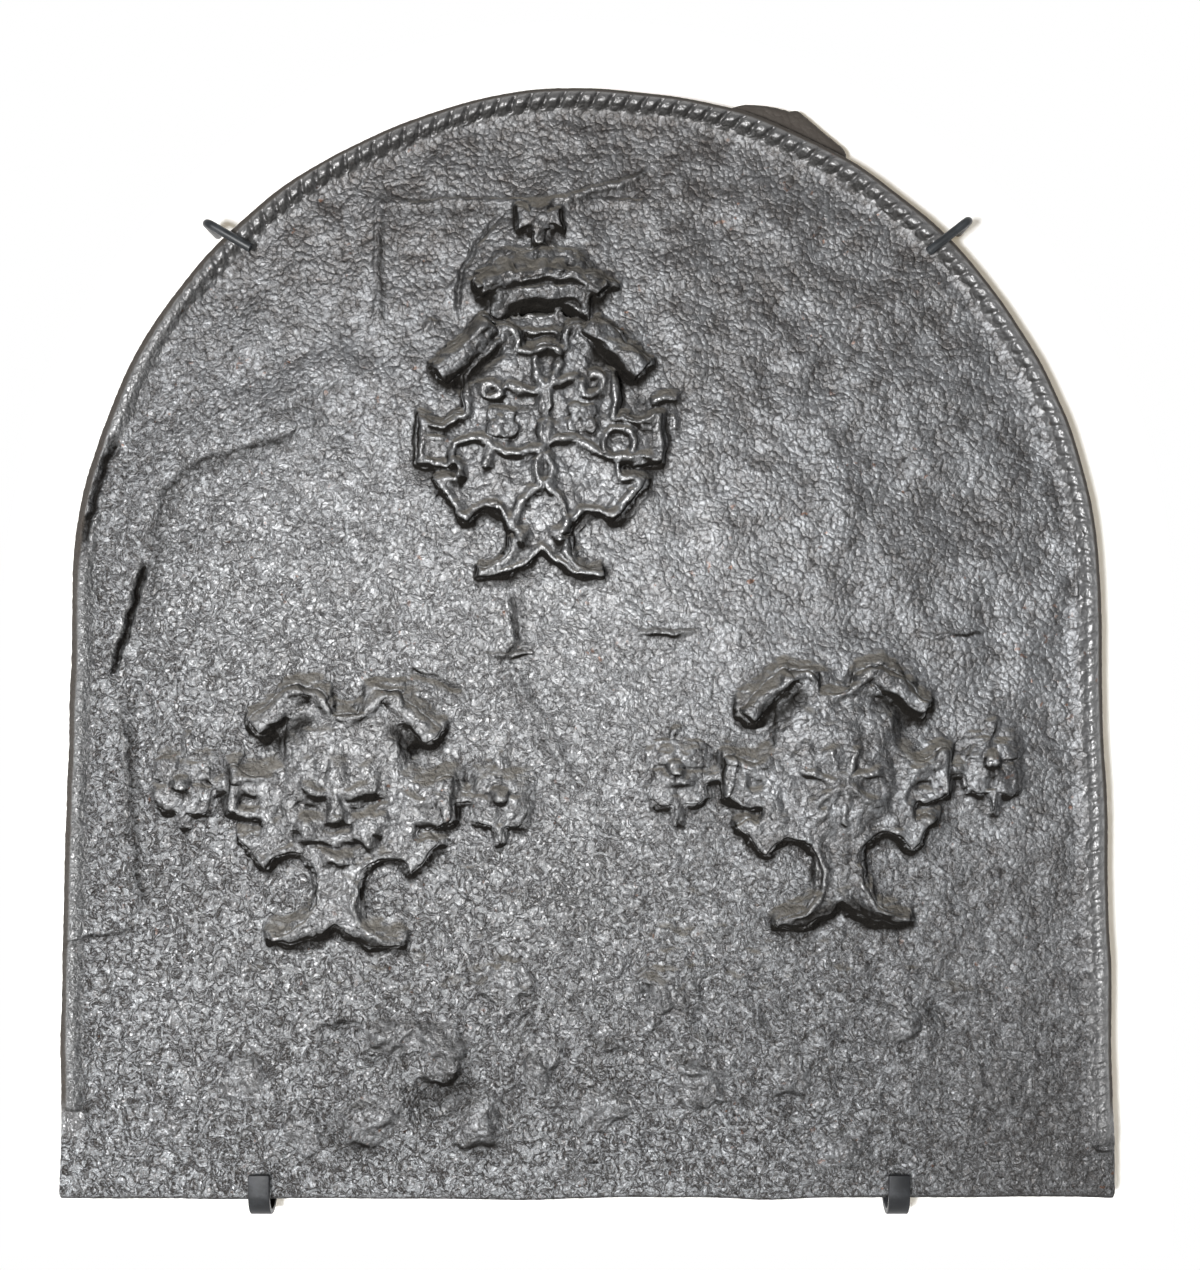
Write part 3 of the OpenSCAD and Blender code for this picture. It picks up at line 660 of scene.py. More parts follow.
# Strokes and lumps of the carved patterns: width, depth and line, then place, half sizes, height and turn
maskStrokes = {
    "rim": (7, -3.6, [
        (-253, 360), (-237, 373), (-216, 384), (-204, 383), (-193, 375), (-183, 367), (-176, 364),
        (-166, 368), (-155, 378), (-142, 382), (-119, 382), (-93, 380),
    ]),
    "rollCrease": (2.4, 3, [(-151, 366), (-139, 356), (-128, 346)]),
    "leftRollShade": (9, 3, [(-240, 344), (-228, 350), (-215, 358), (-204, 367)]),
    "rightRollShade": (8, 3, [(-152, 360), (-142, 352), (-131, 342), (-122, 333)]),
    "leftEarTop": (6, -2.6, [(-288, 320), (-262, 318), (-237, 321)]),
    "leftEarPit": (9, 5, [(-261, 303), (-244, 300)]),
    "rightEarTop": (5, -2.6, [(-137, 306), (-122, 301), (-105, 307)]),
    "rightEarPit": (7, 4.5, [(-128, 284), (-112, 280)]),
    "leftLobe": (4, -2, [(-261, 281), (-271, 267), (-249, 245), (-236, 242)]),
    "rightLobe": (4, -2, [(-113, 265), (-110, 259), (-131, 242), (-137, 248)]),
    "leftWaist": (3.6, -2, [
        (-234, 252), (-222, 257), (-210, 251), (-201, 239), (-201, 224), (-210, 210), (-232, 199),
    ]),
    "rightWaist": (3.6, -2, [
        (-140, 248), (-154, 248), (-166, 241), (-173, 229), (-172, 215), (-161, 202), (-137, 193),
    ]),
    "leftMoat": (8, 2.6, [(-219, 338), (-228, 317), (-231, 293), (-223, 270)]),
    "rightMoat": (8, 2.6, [(-154, 338), (-145, 317), (-142, 293), (-148, 270)]),
    "leftEye": (5.5, 4.2, [(-216, 303), (-206, 295), (-194, 292)]),
    "rightEye": (5.5, 4.2, [(-178, 293), (-164, 296), (-150, 306)]),
    "nostrils": (5, 3.6, [(-198, 283), (-186, 279), (-172, 281)]),
    "beard": (6, 3.2, [(-224, 288), (-215, 263), (-198, 253), (-179, 252), (-157, 264), (-143, 282)]),
    "mouth": (4.4, 3.6, [(-206, 270), (-188, 265), (-166, 271)]),
}
starStrokes = {
    "rim": (7, -3.6, [
        (128, 377), (146, 386), (163, 401), (174, 394), (182, 386), (190, 383), (200, 387),
        (207, 397), (219, 403), (231, 398), (245, 388), (259, 376), (262, 369),
    ]),
    "rollCrease": (2.4, 2.6, [(222, 385), (233, 376), (245, 366)]),
    "leftRollShade": (9, 3, [(136, 360), (146, 368), (156, 378), (164, 386)]),
    "rightRollShade": (8, 3, [(215, 382), (226, 374), (238, 366), (248, 358)]),
    "leftEarTop": (6, -2.6, [(100, 333), (119, 330), (140, 333)]),
    "leftEarPit": (9, 5, [(119, 318), (134, 315)]),
    "rightEarTop": (5, -2.4, [(231, 334), (242, 327), (259, 329), (268, 335)]),
    "rightEarPit": (7, 4, [(246, 314), (260, 316)]),
    "leftLobe": (4, -2, [(128, 296), (113, 282), (132, 261), (148, 270)]),
    "rightLobe": (4, -2, [(252, 293), (268, 282), (251, 264), (238, 267)]),
    "leftWaist": (3.6, -2, [
        (149, 270), (161, 270), (171, 263), (177, 251), (176, 236), (167, 222), (144, 211),
    ]),
    "rightWaist": (3.6, -2, [
        (237, 267), (224, 269), (213, 263), (207, 251), (207, 236), (216, 222), (242, 214),
    ]),
    "leftMoat": (7, 2.4, [(156, 356), (148, 335), (146, 311), (155, 287)]),
    "rightMoat": (7, 2.4, [(222, 356), (232, 335), (234, 311), (224, 287)]),
    "westRay": (5.2, -3.6, [(158, 325), (174, 321), (193, 316)]),
    "northRay": (5.2, -3.4, [(204, 346), (199, 333), (193, 316)]),
    "northWestRay": (5, -2.6, [(179, 342), (185, 330), (192, 318)]),
    "eastRay": (5.2, -3.2, [(193, 316), (207, 322), (223, 327)]),
    "southEastRay": (5.2, -3.0, [(193, 316), (206, 307), (220, 300)]),
    "southRay": (5.2, -3.2, [(192, 316), (194, 300), (193, 281)]),
    "southWestRay": (5.2, -3.4, [(193, 316), (179, 306), (163, 297)]),
    "lowRay": (3.6, -2.2, [(192, 315), (183, 300), (175, 285)]),
}
crownStrokes = {
    "ring": (3, -4, [(-57, 665), (-51, 657), (-40, 653), (-27, 652), (-15.4, 655), (-7.1, 663)]),
    "bandFoot": (3.4, 3.4, [(-59, 668), (-47, 674), (-30, 676), (-12.4, 674), (-0.4, 669)]),
    "lipShade": (2.8, 3, [(-67, 683), (-54, 688), (-34, 691), (-12.4, 689), (2.6, 686)]),
    "capFoldA": (3, 2, [(-34, 723), (-38, 713), (-37, 702)]),
    "capFoldB": (3, 1.8, [(-58, 711), (-55, 704), (-52, 698)]),
    "capFoldC": (3, 1.8, [(-8.7, 714), (-12.4, 707), (-15.4, 701)]),
    "leftEarTop": (3, -2.4, [(-122, 585), (-108, 582), (-94, 588)]),
    "leftEarFrame": (2.6, -2.2, [(-103, 574), (-119, 575), (-119, 558), (-106, 555)]),
    "rightEarFrame": (2.6, -2.2, [(37, 580), (52, 579), (51, 559), (37, 556)]),
    "rightBowl": (2.8, -2.8, [(53, 598), (51, 591), (44, 586), (36, 586), (30, 591), (27, 598)]),
    "rightBowlPit": (8, 4, [(36, 601), (45, 600)]),
    "horn": (5, -5, [(49, 600), (59, 605), (71, 602)]),
    "flecks": (4, -3, [(64, 591), (67, 580)]),
    "leftLobe": (3.2, -2, [(-110, 538), (-117, 528), (-101, 513), (-88, 510)]),
    "rightLobe": (3.2, -2, [(40, 540), (46, 532), (33, 517), (14.7, 513)]),
    "leftWaist": (3.2, -2, [(-83, 516), (-70, 517), (-59, 510), (-55, 497), (-59, 485), (-77, 472)]),
    "rightWaist": (3.2, -2, [(16.2, 514), (4.1, 516), (-6.4, 508), (-10.9, 496), (-4.9, 484), (13.2, 473)]),
    "leftRollShade": (9, 4.5, [(-100, 611), (-90, 618), (-76, 630), (-62, 641)]),
    "rightRollShade": (9, 4.5, [(-1, 645), (10, 634), (24, 623), (36, 614)]),
    "leftShoulder": (5, -2.6, [(-68, 662), (-82, 654), (-94, 642)]),
    "rightShoulder": (5, -2.6, [(8.7, 661), (24, 653), (37, 639)]),
}
fieldStrokes = {
    "foldA": (10, -1.8, [(-19.9, 144), (10.2, 121), (48, 112)]),
    "foldB": (11, -2, [(78, 242), (100, 204), (85, 166)]),
    "foldC": (10, 1.8, [(-19.9, 181), (10.2, 163), (40, 166)]),
    "foldD": (11, -1.8, [(221, 181), (259, 159), (311, 151)]),
    "foldE": (9, 1.8, [(176, 129), (221, 114), (259, 121)]),
}
maskLumps = [
    (-202, 310, 14, 7.5, 4.6, -22), (-167, 311, 15, 7.5, 4.6, 20),
    (-185, 322, 9, 21, 3.2, 0), (-186, 296, 7.5, 14, 3.6, 0), (-186, 287, 10.5, 6.5, 2.4, 0),
    (-205, 281, 14, 15, 3.2, 0), (-164, 284, 13, 15, 3.2, 0), (-187, 256, 20, 8.3, 3, 0),
    (-213, 326, 14, 12, 1.6, 0), (-158, 328, 14, 12, 1.6, 0),
]
starLumps = [
    (189, 315, 42, 47, 2.5, 0), (183, 336, 9.8, 9.8, 2, 0), (170, 293, 10.5, 9, 1.6, 0),
    (209, 285, 9, 7.5, 1.4, 0),
]
crownLumps = [
    (-83, 687, 6, 6, 5, 0), (16.9, 690, 6, 6, 5, 0), (-71, 692, 6.8, 5.3, 3.5, 20),
    (-59, 697, 7.5, 5.3, 4, 12), (-47, 701, 7.5, 5.3, 5, 6), (-34, 702, 8.3, 6, 6, 0),
    (-21, 701, 7.5, 5.3, 5.4, -4), (-8.7, 699, 7.5, 5.3, 4, -10), (4.1, 695, 6.8, 5.3, 3.5, -16),
    (-61, 707, 10.5, 7.5, 2.5, 25), (-7.1, 710, 12, 7.5, 2.5, -20), (-34, 716, 12.8, 7.5, 2.5, 0),
]
fieldLumps = [
    (-184, 126, 22, 16, -5, 0), (-145, 124, 36, 20, 9, 6), (-106, 112, 23, 34, 12, 8),
    (-79, 58, 27, 28, 11, 0), (-160, 64, 42, 28, 11, 12), (-114, 76, 36, 22, -7, 25),
    (-84, 96, 22, 20, -3, 0), (10, 72, 36, 24, 8, 0), (-253, 91, 30, 26, 7, 0),
    (85, 91, 32, 28, 7, 0), (-35, 106, 24, 30, 8, 0),
    (-215, 50, 26, 22, 7, 0), (60, 155, 34, 26, 6, 0), (150, 96, 36, 26, 6, 0), (-60, 165, 30, 24, 6, 0),
    (240, 130, 38, 28, 6, 0), (-10, 215, 40, 28, 4, 20), (310, 90, 36, 28, 5, 0), (-310, 60, 30, 26, 5, 0),
    (190, 40, 40, 22, 5, 10), (-20, 28, 40, 18, 5, 0), (128, 821, 24, 6, 2, -6),
    (176, 806, 24, 7, 2.4, -36),
]

# How much bolder than drawn the mask's lumps are carved
maskBoldness = 1.5
# Hair round the mask: its middle, how many locks and how bent, where it starts and ends, and how high
hair = {"middle": (-187, 299), "locks": 22, "bend": 9, "from": 31, "to": 48, "height": 0.9}

# The crown: the line of its pearls, how it falls away from it, and the line of its band's foot
crownForm = {
    "pearlsX": -34,
    "pearlsZ": 692,
    "pearlsBend": 0.0042,
    "capOut": 2,
    "capFall": 10.5,
    "capRun": 32,
    "bandOut": 2.5,
    "bandFall": 9.5,
    "bandRun": 24,
    "footX": -31,
    "footZ": 676,
    "footBend": 0.011,
    "footCut": 7,
    "crossOut": 2.5,
}

# Where the lower shields' sides slope into the field: place and half sizes
softSpots = [(-226, 336, 15, 30), (-142, 338, 15, 30), (144, 350, 15, 32), (231, 354, 15, 30)]

# The knotted cord: the line of each of its runs, and its half width and height
cordLines = [
    [
        (-31.2, 610), (-36.5, 618), (-38.8, 628), (-36.5, 638), (-29.7, 643), (-22.2, 640),
        (-19.9, 630), (-22.2, 621), (-27.5, 614), (-35, 609),
    ],
    [(-30.5, 612), (-39.5, 608), (-50.8, 610), (-60.6, 615)],
    [
        (-67, 616), (-64, 612), (-64, 608), (-67, 605), (-71.5, 604), (-75.6, 606), (-77.1, 610),
        (-75.6, 614), (-71.5, 616), (-67, 616),
    ],
    [(-30.5, 612), (-19.9, 615), (-6.4, 618)],
    [
        (1.1, 621), (5.6, 622), (9.8, 620), (12.2, 616), (11.9, 611), (8.9, 608), (4.5, 607),
        (0.2, 608), (-2.4, 612), (-2.2, 617),
    ],
    [(-32.7, 609), (-35, 600), (-34.2, 592), (-29.7, 585), (-28.2, 577), (-29.7, 568)],
    [(-29, 610), (-29, 600), (-30.5, 591), (-34.2, 583), (-33.5, 574), (-29.7, 567)],
    [
        (-29.7, 567), (-41, 563), (-51.6, 561), (-61.3, 562), (-69.6, 567), (-77.1, 573), (-87.7, 574),
        (-97.5, 570), (-102, 561), (-99, 552), (-93.7, 544),
    ],
    [(-69.6, 567), (-72.6, 558), (-75.6, 550)],
    [(-29.7, 567), (-19.9, 571), (-9.4, 572), (1.1, 567), (10.2, 561), (20.7, 558), (35.7, 558), (50, 561)],
    [
        (19.2, 559), (14.5, 564), (13.3, 571), (16, 577), (21.8, 581), (28.7, 581), (34.4, 577),
        (37.2, 571), (36, 564), (31.2, 559),
    ],
    [
        (-30.9, 561), (-27.4, 557), (-26, 550), (-27.4, 543), (-30.9, 540), (-35, 541), (-37.6, 547),
        (-37.6, 554), (-35, 559), (-30.9, 561),
    ],
    [(-32.7, 539), (-41, 534), (-48.5, 525), (-52.3, 514), (-50.8, 503), (-46.3, 494)],
    [(-31.2, 539), (-23, 532), (-16.2, 522), (-14.7, 513), (-17.7, 503), (-20.7, 494)],
]
cord = {"halfWidth": 4.3, "height": 4.4}
# Flowers: middle and half width
flowers = [
    (-64.3, 587, 12), (-4.9, 589, 12), (-303.3, 314, 22),
    (-66.3, 307, 22), (68.1, 327, 22), (305, 332, 22),
]
# How bold each shield is, and how high its edge, how deep its field and how full its middle are carved
shieldForms = {
    "crown_shield": (1.0, 1.7, 2.4, 0.8),
    "mask_shield": (2.6, 0.4, 0.8, 2.4),
    "star_shield": (2.6, 0.4, 0.8, 2.4),
}
# The rope: where its middle and crest lie inside the rim, and its form in millimetres
rope = {
    "middle": 9.25,
    "crest": 10.2,
    "height": 8.4,
    "rimHalf": 6.0,
    "fieldHalf": 5.6,
    "fullness": 2.8,
    "foot": 1.6,
    "pitch": 12.3,
    "groove": 5.4,
    "gap": 0.3,
    "leftEnd": 66,
    "rightEnd": 36,
}
# The stump of the gate: the degrees of the arch that it lies between, and how far it reaches at some of them
gate = {
    "from": 57,
    "to": 77,
    "steps": 4,
    "reach": [
        (58, 0), (58.8, 6), (59.4, 9), (62.8, 12.6), (66.6, 19.6),
        (69.6, 14), (72.4, 9), (74, 3), (75, 0),
    ],
}
# Rounds of smoothing: the worn rope, the lower shields, the carving, the shields' sides, and to find hollows
rounds = {"rope": 22, "lowShields": 18, "carving": 3, "sides": 60, "hollows": 30}
# Left, right, foot and top of the parts where edges slope off into the field, and how wide
slopes = [((-140, 90, 455, 770), 4.0), ((-335, -40, 160, 415), 8.0), ((40, 345, 160, 430), 8.0)]
grid = {"step": 1.5, "left": -415, "foot": -15, "columns": 556, "rows": 586, "empty": -30.0}


def platePlaces(points):
    # Plate millimetres of a mesh's points: x from the centre line, z from the foot.
    return points[:, 0] / mm - plate["shift"], points[:, 2] / mm - plate["footZ"]


def insideRim(x, z):
    # How far a place lies inside the plate's outline.
    reach = np.hypot(x, z - plate["sideH"])
    lean = (plate["footHalf"] - plate["archR"]) / plate["sideH"]
    leg = plate["archR"] + lean * (plate["sideH"] - z) - np.abs(x)
    return np.where(z > plate["sideH"], plate["archR"] - reach, np.minimum(leg, z))


def wander(x, z):
    # The unsteady hand that all strokes share
    across = 1.1 * np.sin(z / 4.3 + x / 9.1) + 0.7 * np.sin(z / 2.1 - x / 5.3 + 1.7)
    along = 1.1 * np.sin(x / 4.7 - z / 8.3 + 0.6) + 0.7 * np.sin(x / 2.3 + z / 5.9)
    return x + 0.6 * across, z + 0.6 * along


def pathRuns(path):
    # Each straight run of a path: its ends, its direction, its length, and how far along it starts
    start = 0.0
    for a, b in zip(path, path[1:]):
        length = math.dist(a, b)
        yield a, b, (b[0] - a[0]) / length, (b[1] - a[1]) / length, length, start
        start += length


def pathLength(path):
    return sum(math.dist(a, b) for a, b in zip(path, path[1:]))


def alongPath(x, z, path, width, taper=0.22):
    # Weight 1 on the path's line, falling to 0 at its width, and tapering at both ends
    weight = np.zeros(len(x))
    total = pathLength(path)
    for a, b, dx, dz, length, run in pathRuns(path):
        near = np.flatnonzero(
            (x > min(a[0], b[0]) - width) & (x < max(a[0], b[0]) + width)
            & (z > min(a[1], b[1]) - width) & (z < max(a[1], b[1]) + width)
        )
        t = np.clip((x[near] - a[0]) * dx + (z[near] - a[1]) * dz, 0, length)
        gap = np.hypot(x[near] - a[0] - t * dx, z[near] - a[1] - t * dz)
        ends = np.minimum(run + t, total - run - t) / (taper * total)
        here = smooth(1 - gap / width) * smooth(0.15 + ends)
        weight[near] = np.maximum(weight[near], here)
    return weight


def rough(piece, texture, strength, direction="NORMAL", weights=None, mid=0.5):
    settings = {"texture": texture, "texture_coords": "LOCAL", "direction": direction}
    settings.update(mid_level=mid, strength=strength * mm)
    if weights is not None:
        settings["vertex_group"] = weigh(piece, "rough", weights)
    modify(piece, "DISPLACE", **settings)
    if weights is not None:
        piece.vertex_groups.remove(piece.vertex_groups["rough"])


def drift(piece, name, weights=None):
    # Moves points sideways, and then up or down, by slow clouds.
    for axis, basis in (("X", "IMPROVED_PERLIN"), ("Z", "ORIGINAL_PERLIN")):
        texture = clouds(name + axis, casting[name + "Size"], noise_basis=basis)
        rough(piece, texture, casting[name], axis, weights)


def castWhole():
    carved = ("lion_mask", "star_boss", "cord_knot")  # these are carved out of their shields below
    parts = [copyNode(name, "cast_" + name) for name in ["plate_slab"] + reliefNodes if name not in carved]
    whole = joined(parts, "casting")
    modify(whole, "REMESH", mode="VOXEL", voxel_size=casting["cell"] * mm, use_smooth_shade=True)
    print("fireback: casting remeshed,", len(whole.data.polygons), "faces")
    # The back is a piece of its own, so what lies behind the join goes.
    editOn(whole, "FACE")
    editOff()
    centres = centresOf(whole)
    whole.data.polygons.foreach_set("select", centres[:, 1] > casting["joinY"] * mm)
    bpy.ops.object.mode_set(mode="EDIT")
    bpy.ops.mesh.delete(type="FACE")
    editOff()
    soften(whole, casting["fillet"])
    return whole


def lumpReach(x, z, lump):
    # How far out each place lies in a lump: 0 in its middle and 1 at its edge
    middleX, middleZ, halfX, halfZ, out, turn = lump
    cos, sin = math.cos(math.radians(turn)), math.sin(math.radians(turn))
    u = ((x - middleX) * cos + (z - middleZ) * sin) / halfX
    v = ((z - middleZ) * cos - (x - middleX) * sin) / halfZ
    return np.hypot(u, v)


def dome(x, z, lump):
    return lump[4] * np.clip(1 - lumpReach(x, z, lump) ** 2, 0, 1) ** 0.9


def mound(x, z, lump):
    return lump[4] * smooth(1.05 - lumpReach(x, z, lump))


def ledge(x, z, high, near, far, path):
    # A step: steep on the left of its line and long on the right
    best = np.zeros(len(x))
    total = pathLength(path)
    for a, b, dx, dz, length, run in pathRuns(path):
        t = np.clip((x - a[0]) * dx + (z - a[1]) * dz, 0, length)
        gap = np.hypot(x - a[0] - t * dx, z - a[1] - t * dz)
        left = dx * (z - a[1]) - dz * (x - a[0]) > 0
        ends = np.minimum(run + t, total - run - t) / (0.2 * total)
        best = np.maximum(best, smooth(1 - gap / np.where(left, near, far)) * smooth(0.1 + ends))
    return high * best


def gridPlace(x, z):
    column = np.clip((x - grid["left"]) / grid["step"], 0, grid["columns"] - 2)
    row = np.clip((z - grid["foot"]) / grid["step"], 0, grid["rows"] - 2)
    return row, column


def sample(levels, x, z):
    row, column = gridPlace(x, z)
    r, c = row.astype(int), column.astype(int)
    fr, fc = row - r, column - c
    low = levels[r, c] * (1 - fc) + levels[r, c + 1] * fc
    high = levels[r + 1, c] * (1 - fc) + levels[r + 1, c + 1] * fc
    return low * (1 - fr) + high * fr


def edgeReach(node, most=18):
    # How far each place in a node's outline lies from its edge, in millimetres
    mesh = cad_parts[node].data
    tree = BVHTree.FromPolygons([v.co for v in mesh.vertices], [p.vertices[:] for p in mesh.polygons])
    covered = np.zeros((grid["rows"], grid["columns"]), bool)
    lowest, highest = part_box(node)
    rows, columns = gridPlace(
        np.array([lowest[0], highest[0]]) / mm - plate["shift"],
        np.array([lowest[2], highest[2]]) / mm - plate["footZ"],
    )
    for row in range(int(rows[0]), int(rows[1]) + 2):
        for column in range(int(columns[0]), int(columns[1]) + 2):
            spot = onPlate(grid["left"] + column * grid["step"], grid["foot"] + row * grid["step"], 60)
            covered[row, column] = tree.ray_cast(spot, Vector((0, 1, 0)))[2] is not None
    reach = np.zeros(covered.shape)
    for step in range(most):
        reach += covered
        shrunk = covered.copy()
        shrunk[1:] &= covered[:-1]
        shrunk[:-1] &= covered[1:]
        shrunk[:, 1:] &= covered[:, :-1]
        shrunk[:, :-1] &= covered[:, 1:]
        if step % 2:
            shrunk[1:, 1:] &= covered[:-1, :-1]
            shrunk[:-1, :-1] &= covered[1:, 1:]
            shrunk[1:, :-1] &= covered[:-1, 1:]
            shrunk[:-1, 1:] &= covered[1:, :-1]
        covered = shrunk
    return reach * grid["step"]


def levelMap(x, z, height):
    # The highest point in each cell of the grid, and each place's cell
    row, column = gridPlace(x, z)
    row, column = np.rint(row).astype(int), np.rint(column).astype(int)
    levels = np.full((grid["rows"], grid["columns"]), grid["empty"])
    np.maximum.at(levels, (row, column), height)
    return levels, (row, column)


def slopeWindows():
    # The cells of each part where edges slope off, and how wide the slopes are
    for (left, right, foot, top), width in slopes:
        r, c = gridPlace(np.array([left, right]), np.array([foot, top]))
        r, c = r.astype(int), c.astype(int)
        yield (slice(r[0], r[1]), slice(c[0], c[1])), width


def slopeLevels(x, z, height):
    # Levels of the slopes that run off from what stands proud, long above it and short below
    levels, cells = levelMap(x, z, height)
    ramp = np.full(levels.shape, grid["empty"])
    for window, width in slopeWindows():
        source = levels[window]
        source = np.where(source > 13.5, 5, np.clip(source, grid["empty"], 10.5))
        best = np.full(source.shape, grid["empty"])
        steps = int(width / grid["step"]) + 1
        for up in range(-steps, 2 * steps):
            for across in range(-steps, steps + 1):
                far = math.hypot(up / 1.25 if up > 0 else up * 1.6, across * 1.35) * grid["step"] / width
                if 0 < far < 1:
                    moved = np.roll(source, (up, across), (0, 1))
                    best = np.maximum(best, np.where(moved > 1.5, moved * (1 - far), grid["empty"]))
        ramp[window] = best
    return ramp[cells]


def shadeUnderRelief(x, z, height, reach=8):
    # How much painted shade each place gets, lying close under something that stands proud, or beside it
    levels, cells = levelMap(x, z, height)
    levels = np.maximum(levels, np.maximum(np.roll(levels, 1, 0), np.roll(levels, 1, 1)))
    shade = np.zeros(levels.shape)
    for window, width in slopeWindows():
        here = levels[window]
        best = np.zeros(here.shape)
        for up in range(0, 6):
            for across in range(-2, 3):
                far = math.hypot(up, across * 2.2) * grid["step"]
                if 0 < far < reach:
                    above = np.roll(here, (-up, across), (0, 1)) - here
                    best = np.maximum(best, smooth((above / far - 0.5) / 0.6) * (1 - 0.5 * far / reach))
        shade[window] = best
    return shade[cells]


def shiftPoints(piece, axis, amounts):
    # Moves each point along an axis by its own amount in millimetres.
    for way in (-1, 1):
        part = np.maximum(way * amounts, 0)
        if part.max() > 0.01:
            group = weigh(piece, "shift", part / part.max(), 250)
            strength = way * part.max() * mm
            modify(piece, "DISPLACE", direction=axis, mid_level=0.0, strength=strength, vertex_group=group)
            piece.vertex_groups.remove(piece.vertex_groups[group])


def liftPoints(piece, lift):
    # Moves each point straight out of the plate by its own lift in millimetres, or in if it is below nought.
    shiftPoints(piece, "Y", -lift)


def petals(x, z, flower):
    # Four petals parted by creases, round a domed middle
    middleX, middleZ, half = flower
    out = np.hypot(x - middleX, z - middleZ) / half
    turn = np.arctan2(z - middleZ, x - middleX)
    near = smooth((1.15 - out) / 0.2)
    parted = np.exp(-(np.sin(2 * turn) / 0.3) ** 2) * smooth(out / 0.3)
    eye = np.exp(-((out - 0.36) / 0.09) ** 2)
    full = 0.07 * smooth((1 - out) / 0.5) + 0.13 * smooth((0.34 - out) / 0.2)
    return near * half * (full - 0.13 * parted * near - 0.07 * eye)


def cordWeight(x, z):
    weight = np.zeros(len(x))
    for path in cordLines:
        weight = np.maximum(weight, alongPath(x, z, path, cord["halfWidth"], 0.02))
    return weight


def ropeTurn(x, z):
    # Degrees round the arch from its top, more than 90 nowhere
    return np.degrees(np.arctan2(x, np.maximum(z - plate["sideH"], 1)))


def ropeCrispness(x, z):
    # The rope is crisp over the crown of the arch, half worn on the right and quite worn on the left.
    turn = ropeTurn(x, z)
    return smooth((turn + 64) / 30) * (0.4 + 0.6 * smooth((46 - turn) / 36))


def ropeGrooves(x, z, inside):
    # Weight 1 along the grooves between the rope's lobes, which lie on its inner half
    outward = rope["middle"] - inside
    radius = plate["archR"] - rope["middle"]
    run = radius * (math.pi / 2 + np.arctan2(x, z - plate["sideH"]))
    archPitch = math.pi * radius / round(math.pi * radius / rope["pitch"])
    overArch = z > plate["sideH"]
    upSide = (plate["sideH"] - z + 0.5 * outward) / rope["pitch"]
    phase = np.where(overArch, (run - 0.5 * outward) / archPitch, upSide)
    gap = np.abs(phase - np.rint(phase))
    return smooth((rope["gap"] - gap) / rope["gap"]) * smooth((inside - 4) / 3) * smooth((17.5 - inside) / 3)


